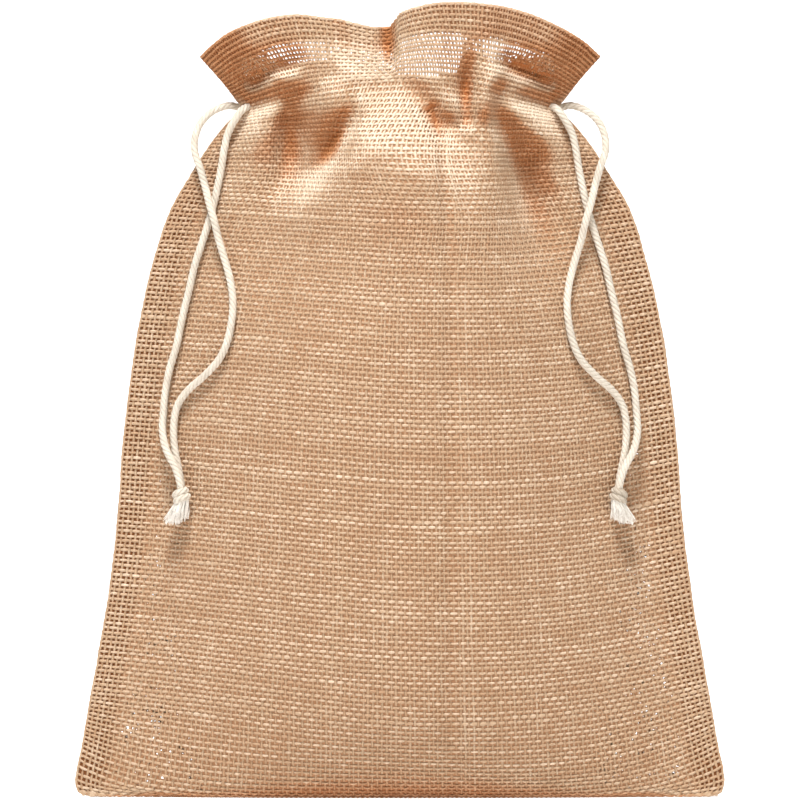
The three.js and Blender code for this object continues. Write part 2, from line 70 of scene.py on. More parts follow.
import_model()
MM = 0.001
UV_NAME = "OFBake"
UV_STRIPS = 0.98
CAP_UV = 0.4
TONE = "tone"
OPEN = "open"
# How much painted shade darkens the ground where two layers meet
GAP_SHADE = "deep"
# How much painted shade darkens the jute at each point
PAINTED_SHADE = "creased"

# The cloth's drape, as the solids have it
CLOTH = 1.6
PANEL_WIDTH = 250.0
PANEL_LENGTH = 320.0
SEAM_MARGIN = 11.0
SEAM_HALF_THICKNESS = 1.5
SEAM_NARROWING = 0.75
SEAM_NARROWS_FROM_V = 0.8
SEAM_FLAT_FROM_V = 0.012
SEAM_PLANE_Y = -1.5
NECK_V = 0.917
HALF_NECK = 61.0
HALF_MOUTH = 78.2
ROW_BEND = 1.8
BASE_ROW_BEND = 7.0
BASE_TOP_V = 0.14
FLOOR_PRESS = 0.4
SWELL_POWER = 2.4
SWELL_SOFT = 1.4
SWELL_SOFT_NECK = 1.2
SHOULDER_V = 0.7
FOLD_EDGE = 0.35
CREASE_WIDE = 4.2
CREASE_END = 0.12
FRILL_TURNS = (0.0, 0.74)
NECK_HEIGHT = 266.0
FOLD_SPREAD = 0.012
FOLD_SPREAD_REACH = 80.0
FOLD_FADE = 0.6
ROW_SAMPLES = 601
GRID_ROWS = 201
GRID_COLUMNS = 281
SEAM_U = 1.0 - 2.0 * SEAM_MARGIN / PANEL_WIDTH

# How a place on the front is found from its height, and over what reach its slope is measured
SEARCH_FROM_V = 0.05
SEARCH_HALVINGS = 40
SLOPE_REACH = 1.0

# How much more cloth the steep walls of the grooves take up than their length, and from which rows
GROOVE_TAKES = 3.2
GROOVES_FROM_V = (0.68, 0.9)
WARP_STEADY_V = 0.035

# The wefts slope down to the right across the middle of the bag
WEFT_SLOPE = 0.05
WEFT_SLOPES_FROM_V = (0.02, 0.15)
WEFT_SLOPES_TO_V = (0.7, 0.9)

# A row for each section up the cloth, from the bottom fold to the top edge
SECTION_COLUMNS = ("v", "half", "edge_z", "front_z", "front", "back_z", "back")
SECTIONS = (
    (0.0, 119.0, 0.0, 0.0, 0.0, 0.0, 0.0),
    (0.012, 123.5, 1.2, 0.0, 5.0, 0.0, 5.0),
    (0.03, 125.8, 6.5, 0.0, 12.0, 0.0, 12.0),
    (0.05, 125.0, 13.0, 0.3, 18.5, 0.3, 18.5),
    (0.068, 123.6, 18.8, 4.0, 23.0, 4.0, 22.5),
    (0.1, 121.6, 30.0, 15.5, 29.0, 15.5, 26.0),
    (0.15, 118.8, 45.5, 33.0, 34.5, 33.0, 31.0),
    (0.25, 113.5, 76.0, 65.0, 39.5, 65.0, 37.0),
    (0.35, 109.6, 107.0, 97.0, 41.8, 97.0, 40.0),
    (0.45, 107.3, 138.0, 129.0, 43.0, 129.0, 41.5),
    (0.55, 103.5, 168.5, 160.5, 43.4, 160.5, 41.0),
    (0.65, 97.6, 199.5, 192.5, 42.6, 192.5, 39.0),
    (0.74, 89.5, 226.0, 220.5, 40.3, 220.5, 35.0),
    (0.8, 81.5, 240.0, 236.0, 37.6, 235.5, 31.0),
    (0.85, 74.0, 251.5, 252.5, 31.5, 250.0, 27.0),
    (0.885, 66.5, 260.5, 265.0, 25.2, 259.5, 24.5),
    (0.917, 61.0, 266.0, 276.0, 21.0, 268.0, 23.0),
    (0.93, 63.7, 269.0, 280.0, 21.0, 270.0, 26.5),
    (1.0, 78.2, 285.5, 300.0, 21.0, 279.0, 46.0),
)

# The top edges: place across the bag, height and bulge
HEM_COLUMNS = ("x", "z", "bulge")
FRONT_HEM = (
    (-78.2, 285.5, 1.5),
    (-70.0, 292.8, 8.5),
    (-61.0, 297.7, 13.5),
    (-49.0, 301.4, 15.0),
    (-40.0, 302.3, 15.5),
    (-31.0, 301.4, 15.5),
    (-24.0, 300.5, 14.5),
    (-17.0, 298.7, 15.5),
    (-9.0, 297.2, 15.0),
    (-4.8, 297.2, 12.5),
    (-3.0, 299.3, 15.0),
    (-0.5, 302.4, 19.0),
    (8.0, 305.4, 22.0),
    (17.5, 307.0, 22.5),
    (24.0, 307.0, 21.0),
    (30.5, 306.6, 21.5),
    (43.0, 304.7, 18.0),
    (52.0, 302.0, 15.5),
    (63.5, 296.5, 12.5),
    (72.4, 291.0, 6.5),
    (78.2, 285.5, 1.5),
)
BACK_HEM = (
    (-78.2, 285.5, 1.5),
    (-66.0, 286.0, 13.0),
    (-50.0, 283.5, 29.0),
    (-31.0, 280.0, 42.0),
    (-16.0, 278.0, 46.0),
    (-4.0, 279.5, 41.0),
    (10.0, 277.0, 47.0),
    (26.0, 279.5, 42.5),
    (34.0, 280.5, 40.0),
    (52.0, 284.0, 28.0),
    (67.0, 286.0, 12.5),
    (78.2, 285.5, 1.5),
)

# The crease under the frill, alike on both sides: place across the bag, height and depth
CREASE_COLUMNS = ("x", "z", "deep")
CREASE = (
    (0.0, 284.0, 0.0),
    (34.0, 284.0, 0.0),
    (45.0, 282.0, 5.0),
    (53.0, 279.5, 6.0),
    (61.0, 275.0, 4.0),
    (70.0, 271.0, 2.0),
)

# The folds below the neck: place across the bag at five heights, half width, height, where they start and
# end, and how slowly they end at the top
FOLD_COLUMNS = ("x281", "x266", "x250", "x230", "x205", "wide", "high", "low", "top", "fade")
FOLD_HEIGHTS = (205, 230, 250, 266, 281)
FRONT_FOLDS = (
    (-44, -50.5, -57.5, -56, -55, 7.0, 5.5, 243, 280, 7),
    (-49.5, -43, -42, -44, -52.5, 5.4, -6.5, 222, 265, 19),
    (-27.5, -26, -25, -29, -37, 7.0, 4.0, 235, 274, 6),
    (-41.5, -34.5, -35, -42, -47, 16.5, -10.5, 170, 256, 16),
    (-26.5, -18.5, -25.5, -37, -46.5, 7.0, -5.5, 218, 262, 16),
    (-19.5, -18, -15, -32, -39, 9.2, 4.0, 203, 283, 26),
    (6.5, 3.5, -1.5, -1, -1.5, 15.4, 4.0, 207, 282, 22),
    (-2.5, 12, 22.5, 24, 21.5, 5.6, -3.5, 216, 269, 13),
    (25, 25.4, 26, 27, 27, 2.4, -3.0, 256, 280, 9),
    (33, 34, 36.5, 41, 41, 6.6, 6.0, 224, 283, 11),
    (37, 36, 38.5, 48, 56, 8.0, -7.0, 190, 261, 10),
    (41.5, 46, 58.5, 60, 64, 10.4, 7.5, 244, 274, 12),
    (51, 52, 49, 56, 61, 10.0, -10.5, 182, 244, 24),
)
# Finer folds on those of the front, which crisp their edges
FINE_FOLDS = (
    (-20, -20.5, -27, -41, -56, 2.6, -2.5, 240, 262, 6),
    (-16, -16.0, -22, -36, -52, 3.2, 2.0, 212, 268, 9),
    (1, 11.0, 16, 18, 20, 1.8, -2.0, 267, 284, 5),
    (8, 15.5, 19, 20, 22, 6.0, -0.6, 250, 266, 4),
    (10, 15.5, 17, 18, 19, 7.0, 1.6, 260, 277, 4),
    (35, 33.0, 37.5, 42, 48, 3.4, 2.0, 215, 276, 9),
    (41, 38.5, 43, 47.5, 54, 3.4, -3.0, 216, 272, 8),
    (51, 51.0, 51.5, 54, 58, 4.5, -3.0, 232, 252, 8),
)
BACK_FOLDS = (
    (-48, -46, -47, -50, -56, 5.5, 4.5, 215, 276, 9),
    (-38, -36, -35, -36, -40, 4.0, -5.5, 205, 276, 9),
    (-26, -25, -24, -24, -26, 5.5, 5.0, 195, 278, 9),
    (-13, -12, -10, -9, -8, 4.0, -6.0, 210, 278, 9),
    (-2, 0, 2, 4, 6, 5.5, 4.0, 190, 276, 9),
    (11, 12, 15, 19, 26, 4.0, -5.5, 200, 278, 9),
    (22, 23, 26, 31, 40, 5.5, 5.5, 190, 278, 9),
    (34, 35, 38, 43, 52, 4.5, -5.5, 208, 276, 9),
    (46, 46, 48, 52, 58, 5.5, 4.0, 220, 274, 9),
)

# Where light shows through the front's frill: place across the bag, the lowest height, and how open the
# cloth is
WINDOW_COLUMNS = ("x", "low", "open")
FRONT_WINDOWS = (
    (-64.0, 277.0, 0.0),
    (-60.0, 276.8, 0.55),
    (-51.0, 278.0, 0.55),
    (-47.0, 283.5, 0.85),
    (-32.0, 283.5, 1.0),
    (-24.0, 286.0, 0.4),
    (-14.0, 280.5, 0.45),
    (-5.0, 277.5, 0.45),
    (1.0, 278.0, 0.9),
    (5.0, 277.5, 1.0),
    (22.0, 279.5, 1.0),
    (25.0, 287.0, 0.5),
    (35.0, 283.5, 0.7),
    (46.0, 283.5, 0.6),
    (52.0, 277.5, 0.55),
    (60.0, 277.0, 0.55),
    (64.0, 277.0, 0.0),
)
WINDOW_SOFT = 1.5
HEM_SOFT_V = 0.004
BACK_OPENS_V = (0.935, 0.945)

# Where light shows through both sides of the bag, just inside the side seams: how far up the cloth, from
# what share of the way to the edge, and how open. The back is more open, and so are the ends of its hem.
SPARKLE_COLUMNS = ("v", "from_u", "open")
SPARKLES = (
    (0.0, 0.3, 0.28),
    (0.03, 0.45, 0.31),
    (0.1, 0.62, 0.35),
    (0.25, 0.72, 0.35),
    (0.4, 0.78, 0.32),
    (0.6, 0.8, 0.28),
    (0.75, 0.84, 0.24),
    (0.85, 0.84, 0.0),
)
SPARKLE_SOFT_U = 0.05
BACK_SPARKLES = 1.35
BACK_HEM_OPENS_U = (0.62, 0.74)

# The free ends of the left cord, from the neck to the knot: place across, height, lift off the cloth, and
# y only where the cord stands free of it. The first two rows run inside the neck and the last inside the
# knot. The right cord mirrors them.
ROUTE_COLUMNS = ("x", "z", "lift", "y")
LOOP_ROUTE = (
    (-53.5, 267.6, 0, 1.0),
    (-58.0, 267.2, 0, 1.6),
    (-62.2, 266.4, 0, 3.1),
    (-65.6, 267.0, 0, 2.4),
    (-70.1, 265.9, 0, 1.6),
    (-74.7, 262.9, 0, 0.4),
    (-77.8, 258.7, 0, -1.2),
    (-79.3, 253.3, 0, -2.8),
    (-79.1, 248.6, 0, -4.0),
    (-77.2, 243.0, 0, -4.8),
    (-75.1, 235.5, 1.6),
    (-73.4, 228.6, 3.7),
    (-71.6, 222.4, 3.7),
    (-69.7, 214.7, 1.6),
    (-67.0, 205.8, 0),
    (-65.1, 198.1, 0),
    (-64.3, 191.1, 0),
    (-64.7, 184.2, 0),
    (-66.6, 175.3, 0),
    (-69.8, 168.7, 0),
    (-75.5, 162.5, 0),
    (-81.6, 157.1, 0),
    (-85.5, 151.7, 0),
    (-87.0, 145.9, 0),
    (-87.2, 138.6, 0),
    (-86.6, 132.8, 0),
    (-85.4, 127.0, 0),
    (-84.4, 121.2, 0),
    (-84.2, 118.8, 0.9),
)
STRAIGHT_ROUTE = (
    (-53.5, 267.2, 0, 1.4),
    (-57.8, 266.7, 0, 0.6),
    (-60.9, 265.2, 0, -4.1),
    (-63.8, 261.2, 0, -4.3),
    (-66.4, 256.0, 0),
    (-67.8, 250.2, 0.3),
    (-69.0, 242.5, 0.6),
    (-70.4, 235.5, 0.3),
    (-71.8, 229.0, 0),
    (-74.7, 218.9, 0),
    (-77.0, 212.0, 0),
    (-79.3, 204.6, 0),
    (-81.4, 195.4, 0),
    (-83.6, 186.5, 0),
    (-86.3, 173.7, 0),
    (-88.8, 165.3, 0),
    (-90.5, 156.4, 0),
    (-91.2, 148.3, 0),
    (-91.6, 141.7, 0.9),
    (-90.0, 134.0, 3.2),
    (-86.4, 127.0, 3.8),
    (-84.7, 121.5, 3.6),
    (-84.3, 119.0, 3.3),
)
CORD_CLEARANCE = 0.4
KNOT_X = -84.2
KNOT_Z = 116.7
KNOT_LEAN = -0.22
KNOT_RADIUS = 3.9
CORD_STEP = 0.6
LINE_SAMPLES = 24
CORD_SEED = 31
PLIES = 4
PLY_SHARE = 0.48
PLY_FLAT = 1.08
PLY_SIDES = 8
# Painted shade in the grooves between the plies: which sides of a ply are in the groove, and how much
# darker
PLY_GROOVE = (-0.3, 0.8)
PLY_GROOVE_SHADE = 0.45
PLY_START = (0.31, -0.9, 0.3)
PLY_SIZE_VARIES = 0.04
PLY_SIZE_WAVES = (9.0, 21.0)
PLY_TONE = 0.5
PLY_TONE_VARIES = 0.1
PLY_TONE_WAVES = (5.0, 14.0)

# The knot's winding about its own middle, and the frayed ends below it
KNOT_SEED = 12
KNOT_CORD = 0.95
KNOT_TURNS = 1.9
KNOT_STEPS = 54
KNOT_START = 0.9
KNOT_TUCK = 0.15
KNOT_TUCKED_IN = 0.9
KNOT_WINDING = 2.25
KNOT_TOP = 1.7
KNOT_PITCH = 2.4
FRAY_FROM = 2.0
FRAY_LENGTH = (6.4, 9.0)
FRAY_ROUNDED = 1.2
FRAY_ROOT = 2.8
FRAY_SPREAD = 2.6
FRAY_FLAT = 0.75
FRAY_LEAN = -4.4
FRAY_CURL = 0.45
FRAY_STRAND = 0.2
FRAY_SAMPLES = 7
FRAY_SIDES = 4
FRAY_WAVES = (0.6, 1.2)
FRAY_TAPER = 0.5
FRAY_SIZES = (0.8, 1.4)
FRAY_TONES = (0.75, 1.05)

# The weave: how far wefts stand proud of warps, how much a yarn swells where it floats on top, how much of
# their pitch warps fill at most, and how much paler wefts are painted than warps: painted light on the
# wefts and painted shade on the warps
WEFT_PROUD = 0.08
FLOAT_SWELLS = 0.12
WARP_FILLS = 0.58
WEFT_LIGHT_WARP_SHADE = 0.05
YARN_SIDES = 4
HEM_LAYER = 1.5
HEM_LOOSE_U = 0.84
EDGES_MEET_U = (0.96, 0.99)

# How unevenly yarns are laid, spun and coloured
YARN_SEED = 7
WAVE_CYCLES_VARY = (0.7, 1.3)
WAVE_HEIGHT = 1.4
YARN_STRAYS = 0.18
YARN_STRAY_WAVES = (2.0, 5.0, 11.0)
YARN_JITTER = 0.05
YARN_SIZE_SPREAD = 0.09
YARN_SIZE_VARIES = 0.1
YARN_SIZE_WAVES = (7.0, 15.0, 31.0)
SLUB_SHARE = 0.3
SLUB_SWELLS = 0.4
SLUB_REACH = 4.0
YARN_TONE = 0.5
YARN_TONE_SPREAD = 0.045
YARN_TONE_VARIES = 0.06
YARN_TONE_WAVES = (3.0, 8.0, 17.0)
YARN_TONE_JITTER = 0.06
YARN_TONES = (0.05, 0.95)

# Noise in the finishes, as scale and detail, and how strongly it shades, raises and pierces them
NOISE_MIDDLE = 0.5
BUMP_DISTANCE = 0.0002
JUTE_FIBRES = (1400.0, 3.0)
JUTE_FIBRES_SHADE = 0.36
JUTE_PATCHES = (60.0, 2.0)
JUTE_PATCHES_SHADE = 0.2
JUTE_BUMP = 0.5
GROUND_FIBRES = (900.0, 3.0)
GROUND_FIBRES_SHADE = 0.5
HOLES = (700.0, 1.0)
HOLE_PATCHES = (70.0, 1.0)
HOLES_VARY = 0.4
COTTON_FIBRES = (1600.0, 3.0)
COTTON_FIBRES_SHADE = 0.5
COTTON_FROM_TONE = 0.6
COTTON_BUMP = 0.4

# The ground of fibres between the yarns, darker than the yarns as painted shade in their gaps: how far in
# it lies, how far it reaches, and how dark the painted shade is where two layers meet in the seams and the
# hem
GROUND_COLUMNS = 100
GROUND_ROWS = 300
GROUND_DEPTH = 0.1
GROUND_REACH_U = 0.993
GROUND_REACH_V = 0.998
SEAM_SOFT_U = 0.012
SEAM_GAP_SHADE_TO_V = (0.72, 0.88)
HEM_GAP_SHADE = 0.55

# Painted light and shade over the drape: about the neck the jute gets painted shade in hollows and, at the
# front, where it faces down, and painted light where it faces up; painted shade darkens the foot's
# underside.
HOLLOW_REACH = 9.0
HOLLOW_SHADE = (0.4, 4.4)
PAINTED_SHADE_FROM_V = (0.62, 0.8)
FACES_DOWN = (-0.1, 0.3)
FACES_UP = (0.12, 0.5)
DOWN_SHADE = 0.85
UP_PAINTED_LIGHT = 0.48
PAINTED_LIGHT_FROM_V = (0.7, 0.84)
FOOT_SHADE = 0.7
FOOT_FACES_DOWN = (0.35, 0.7)
FOOT_TO_V = (0.1, 0.14)

# The studio in metres: the floor across in x and z and its sweep in y and z, from where it glows as the
# backdrop, and each light's name, place, size, power and colour
SENSOR_WIDTH = 36.0
CAMERA_REACH = 50.0
STUDIO_WHITE = (0.9, 0.9, 0.9, 1.0)
STUDIO_GLOW = (1.0, 1.0, 1.0, 1.0)
SWEEP_ACROSS = ((-11.4, 0.5), (-11.3, 0.0), (11.3, 0.0), (11.4, 0.5))
SWEEP = ((-11.4, 0.5), (-11.3, 0.0), (0.5, 0.0), (8.4, 0.0), (9.0, 0.4), (9.2, 2.0), (9.2, 26.0))
BACKDROP_FROM_Y = 0.5
FLOOR_GLOW = 0.45
BACKDROP_GLOW = 1.0
LIGHT_AIM = (0.0, 0.0, 0.16)
LIGHTS = (
    ("key", (-0.24, -1.28, 2.94), 0.8, 144.0, (1.0, 1.0, 1.0)),
    ("fill", (0.3, -2.4, 0.5), 1.6, 8.0, (1.0, 0.8, 0.62)),
)
WORLD_LIGHT = 0.13
WORLD_COLOUR = (1.0, 0.78, 0.58, 1.0)


def ease(low, high, x):
    t = np.clip((x - low) / (high - low), 0.0, 1.0)
    return t * t * (3.0 - 2.0 * t)


def cubic(t, start, start_slope, end, end_slope):
    """The curve between two values that leaves and arrives with the given slopes."""
    s = 1.0 - t
    return ((1.0 + 2.0 * t) * s * s * start + t * s * s * start_slope
            + t * t * (3.0 - 2.0 * t) * end - t * t * s * end_slope)


def curve_through(knots, values):
    """A smooth curve through a table that never overshoots its values."""
    knots = np.asarray(knots, float)
    values = np.asarray(values, float)
    gap = np.diff(knots)
    slope = np.diff(values) / gap
    tangent = np.zeros(len(knots))
    tangent[0] = slope[0]
    tangent[-1] = slope[-1]
    before = slope[:-1]
    after = slope[1:]
    first = 2.0 * gap[1:] + gap[:-1]
    second = gap[1:] + 2.0 * gap[:-1]
    same_way = before * after > 0.0
    inner = np.zeros(len(before))
    inner[same_way] = (first + second)[same_way] / (
        first[same_way] / before[same_way] + second[same_way] / after[same_way])
    tangent[1:-1] = inner

    def at(x):
        x = np.clip(x, knots[0], knots[-1])
        k = np.clip(np.searchsorted(knots, x, side="right") - 1, 0, len(gap) - 1)
        t = (x - knots[k]) / gap[k]
        return cubic(t, values[k], gap[k] * tangent[k], values[k + 1], gap[k] * tangent[k + 1])

    return at


def column_curves(columns, rows):
    """A curve for each column of a table, over its first column."""
    values = np.array(rows, float)
    return {name: curve_through(values[:, 0], values[:, i]) for i, name in enumerate(columns) if i}


SECTION = column_curves(SECTION_COLUMNS, SECTIONS)
UNDER_FRILL = column_curves(CREASE_COLUMNS, CREASE)


class ClothPanel:
    """The front or the back of the bag: which way it faces, its top edge and its folds."""

    def __init__(self, way, height, bulge, hem, folds):
        self.way = way
        self.middle_z = SECTION[height]
        self.middle_bulge = SECTION[bulge]
        hem_curves = column_curves(HEM_COLUMNS, hem)
        self.hem_z = hem_curves["z"]
        self.hem_bulge = hem_curves["bulge"]
        self.folds = []
        for row in folds:
            fold = dict(zip(FOLD_COLUMNS, row))
            fold["at"] = curve_through(FOLD_HEIGHTS, [fold[f"x{z}"] for z in FOLD_HEIGHTS])
            self.folds.append(fold)

    def fold_lift(self, x, z):
        """How far the folds lift the cloth at a place across the bag and a height."""
        lift = np.zeros(np.shape(x))
        below = np.clip(NECK_HEIGHT - z, 0.0, FOLD_SPREAD_REACH)
        for fold in self.folds:
            wide = fold["wide"] * (1.0 + FOLD_SPREAD * below)
            up = ease(fold["low"], fold["low"] + FOLD_FADE * (NECK_HEIGHT - fold["low"]), z)
            down = 1.0 - ease(fold["top"] - fold["fade"] / 2.0, fold["top"] + fold["fade"], z)
            lift += fold["high"] * up * down * np.exp(-((x - fold["at"](z)) / wide) ** 2)
        return lift

    def cloth_at(self, x, v):
        """Height, and bulge out from the side seams' plane, at a place across the bag on the row v."""
        half = SECTION["half"](v)
        low = np.minimum(v, NECK_V)
        frill = v > NECK_V
        flat = SEAM_HALF_THICKNESS * ease(0.0, SEAM_FLAT_FROM_V, v)
        neck_x = np.where(frill, x * HALF_NECK / half, x)
        s = np.minimum(np.abs(neck_x) / (np.where(frill, HALF_NECK, half) - seam_margin(low)), 1.0)
        z = row_height(self, np.abs(x) / half, low)
        bulge = flat + (self.middle_bulge(low) - flat) * swell(s, low)
        rise = np.clip((v - NECK_V) / (1.0 - NECK_V), 0.0, 1.0)
        hem_x = x * HALF_MOUTH / half
        z = z + (self.hem_z(hem_x) - z) * rise
        bulge = bulge + (self.hem_bulge(hem_x) - bulge) * ease(*FRILL_TURNS, rise)
        crease = UNDER_FRILL["deep"](np.abs(x)) * ease(0.0, CREASE_END, 1.0 - s)
        crease = crease * np.exp(-((z - UNDER_FRILL["z"](np.abs(x))) / CREASE_WIDE) ** 2)
        return z, bulge - crease + self.fold_lift(neck_x, z) * ease(0.0, FOLD_EDGE, 1.0 - s)

    def settle(self):
        """Where each share of the cloth's width lies across the bag, row by row, with steady warps."""
        vs = np.linspace(0.0, 1.0, GRID_ROWS)
        dense = np.linspace(-1.0, 1.0, ROW_SAMPLES)
        x = (SECTION["half"](vs) - seam_margin(vs))[:, None] * dense[None, :]
        _, bulge = self.cloth_at(x, np.broadcast_to(vs[:, None], x.shape))
        takes = 1.0 + (GROOVE_TAKES - 1.0) * ease(*GROOVES_FROM_V, vs)
        step = np.hypot(np.diff(x, axis=1), takes[:, None] * np.diff(bulge, axis=1))
        along = np.concatenate([np.zeros((GRID_ROWS, 1)), np.cumsum(step, axis=1)], axis=1)
        along = 2.0 * along / along[:, -1:] - 1.0
        wanted = np.linspace(-1.0, 1.0, GRID_COLUMNS)
        places = np.array([np.interp(wanted, row, dense) for row in along])
        reach = np.exp(-0.5 * ((vs[:, None] - vs[None, :]) / WARP_STEADY_V) ** 2)
        self.places = reach @ places / reach.sum(axis=1, keepdims=True)

    def grid(self, us, vs):
        """Points and normals of the outer face, for shares across the cloth, -1 to 1, and up, 0 to 1."""
        half = SECTION["half"](vs)
        margin = seam_margin(vs)
        at = vs * (GRID_ROWS - 1)
        row = np.minimum(at.astype(int), GRID_ROWS - 2)
        part = (at - row)[:, None]
        rows = self.places[row] * (1.0 - part) + self.places[row + 1] * part
        inner = np.clip(us / SEAM_U, -1.0, 1.0)
        outer = np.sign(us) * np.clip((np.abs(us) - SEAM_U) / (1.0 - SEAM_U), 0.0, 1.0)
        wanted = np.linspace(-1.0, 1.0, GRID_COLUMNS)
        shares = np.array([np.interp(inner, wanted, places) for places in rows])
        x = shares * (half - margin)[:, None] + outer[None, :] * margin[:, None]
        sloped = ease(*WEFT_SLOPES_FROM_V, vs) * (1.0 - ease(*WEFT_SLOPES_TO_V, vs))
        drop = WEFT_SLOPE * x * (1.0 - us ** 2)[None, :] * sloped[:, None]
        z, bulge = self.cloth_at(x, vs[:, None] - drop / PANEL_LENGTH)
        points = np.stack([x, self.way * bulge + SEAM_PLANE_Y, z], axis=-1)
        over = np.gradient(points, axis=1)
        up = np.gradient(points, axis=0)
        return points, unit(np.cross(over, up)) * -self.way


def unit(vectors):
    return vectors / np.maximum(np.linalg.norm(vectors, axis=-1, keepdims=True), 1e-12)


def seam_margin(v):
    return SEAM_MARGIN * (1.0 - SEAM_NARROWING * ease(SEAM_NARROWS_FROM_V, NECK_V, v))


def swell(s, v):
    soft = SWELL_SOFT + (SWELL_SOFT_NECK - SWELL_SOFT) * ease(SHOULDER_V, NECK_V, v)
    return (1.0 - s ** SWELL_POWER) ** soft


def row_height(panel, across, v):
    middle = panel.middle_z(v)
    bend = BASE_ROW_BEND + (ROW_BEND - BASE_ROW_BEND) * ease(0.0, BASE_TOP_V, v)
    z = middle + (SECTION["edge_z"](v) - middle) * across ** bend
    return np.maximum(z - FLOOR_PRESS * (1.0 - ease(0.5 * BASE_TOP_V, BASE_TOP_V, v)), 0.0)


FRONT = ClothPanel(-1.0, "front_z", "front", FRONT_HEM, FRONT_FOLDS + FINE_FOLDS)
BACK = ClothPanel(1.0, "back_z", "back", BACK_HEM, BACK_FOLDS)
PANELS = ((FRONT, "front"), (BACK, "back"))
for cloth_panel, _ in PANELS:
    cloth_panel.settle()
SIDES = ((-1.0, "left"), (1.0, "right"))
WINDOW = column_curves(WINDOW_COLUMNS, FRONT_WINDOWS)
SPARKLE = column_curves(SPARKLE_COLUMNS, SPARKLES)


def openness(panel, points, us, vs, hem_v):
    """How open the cloth is to the light behind it, 0 to 1, over a grid of its points."""
    x = points[..., 0]
    z = points[..., 2]
    v = vs[:, None]
    side = np.abs(us)[None, :]
    hemmed = ease(hem_v - HEM_SOFT_V, hem_v, v)
    if panel is FRONT:
        low = WINDOW["low"](x)
        frill = WINDOW["open"](x) * ease(low - WINDOW_SOFT, low + WINDOW_SOFT, z)
    else:
        frill = ease(*BACK_OPENS_V, v)
        hemmed = hemmed * (1.0 - ease(*BACK_HEM_OPENS_U, side))
    frill = frill * (1.0 - hemmed)
    inner = SPARKLE["from_u"](v)
    sides = SPARKLE["open"](v) * ease(inner - SPARKLE_SOFT_U, inner + SPARKLE_SOFT_U, side)
    sides = sides * (1.0 - ease(SEAM_U - SPARKLE_SOFT_U / 2.0, SEAM_U, side))
    if panel is BACK:
        sides = sides * BACK_SPARKLES
    return np.maximum(frill, sides)


def drape_shade_and_light(panel, points, normals, us, vs):
    """How much painted shade darkens the cloth and painted light pales it, over a grid of its points."""
    bulge = panel.way * (points[..., 1] - SEAM_PLANE_Y)
    along = np.exp(-0.5 * ((vs[:, None] - vs[None, :]) * PANEL_LENGTH / HOLLOW_REACH) ** 2)
    across = np.exp(-0.5 * ((us[:, None] - us[None, :]) * PANEL_WIDTH / 2.0 / HOLLOW_REACH) ** 2)
    soft = along @ bulge @ across / along.sum(axis=1)[:, None] / across.sum(axis=0)[None, :]
    up = normals[..., 2]
    # Painted shade in the hollows of the drape
    creased = ease(*HOLLOW_SHADE, soft - bulge)
    if panel is FRONT:
        # Painted shade where the front faces down
        creased = np.maximum(creased, DOWN_SHADE * ease(*FACES_DOWN, -up))
    creased = creased * ease(*PAINTED_SHADE_FROM_V, vs)[:, None]
    # Painted shade on the foot where it turns under
    foot = FOOT_SHADE * ease(*FOOT_FACES_DOWN, -up) * (1.0 - ease(*FOOT_TO_V, vs))[:, None]
    # Painted light: cloth about the neck that faces up is painted paler
    painted_light = UP_PAINTED_LIGHT * ease(*FACES_UP, up) * ease(*PAINTED_LIGHT_FROM_V, vs)[:, None]
    return np.maximum(creased, foot), painted_light


def front_bulge(x, z):
    """The front's bulge at a place across the bag and a height below the neck."""
    low = SEARCH_FROM_V
    high = NECK_V
    for _ in range(SEARCH_HALVINGS):
        middle = (low + high) / 2.0
        if FRONT.cloth_at(np.array(x), np.array(middle))[0] < z:
            low = middle
        else:
            high = middle
    return float(FRONT.cloth_at(np.array(x), np.array((low + high) / 2.0))[1])


def front_slopes(x, z):
    """How steeply the front bulges across and up at a place."""
    across = front_bulge(x + SLOPE_REACH, z) - front_bulge(x - SLOPE_REACH, z)
    up = front_bulge(x, z + SLOPE_REACH) - front_bulge(x, z - SLOPE_REACH)
    return across / (2.0 * SLOPE_REACH), up / (2.0 * SLOPE_REACH)


def above_cloth(x, z, height):
    """A point that stands a given height above the front's cloth, measured square to it."""
    slope_x, slope_z = front_slopes(x, z)
    reach = height * math.hypot(1.0, slope_x, slope_z)
    return np.array([x, SEAM_PLANE_Y - front_bulge(x, z) - reach, z])


def cord_points(route, side, radius):
    """The points of a cord's route on one side of the bag."""
    points = []
    for row in route:
        place = dict(zip(ROUTE_COLUMNS, row))
        x = -side * place["x"]
        if "y" in place:
            points.append(np.array([x, place["y"] + SEAM_PLANE_Y, place["z"]]))
        else:
            points.append(above_cloth(x, place["z"], radius + CORD_CLEARANCE + place["lift"]))
    return np.array(points)


def smooth_line(points, step):
    """A smooth line through points, with points of its own about one step apart."""
    padded = np.vstack([2.0 * points[0] - points[1], points, 2.0 * points[-1] - points[-2]])
    dense = []
    for a, b, c, d in zip(padded, padded[1:], padded[2:], padded[3:]):
        gaps = [max(float(np.linalg.norm(q - p)) ** 0.5, 1e-4) for p, q in ((a, b), (b, c), (c, d))]
        first = ((b - a) / gaps[0] - (c - a) / (gaps[0] + gaps[1]) + (c - b) / gaps[1]) * gaps[1]
        second = ((c - b) / gaps[1] - (d - b) / (gaps[1] + gaps[2]) + (d - c) / gaps[2]) * gaps[1]
        t = np.linspace(0.0, 1.0, LINE_SAMPLES, endpoint=False)[:, None]
        dense.append(cubic(t, b, first, c, second))
    dense.append(points[-1:])
    line = np.vstack(dense)
    along = lengths_along(line)
    wanted = np.linspace(0.0, along[-1], int(round(along[-1] / step)) + 1)
    return np.stack([np.interp(wanted, along, line[:, i]) for i in range(3)], axis=1)


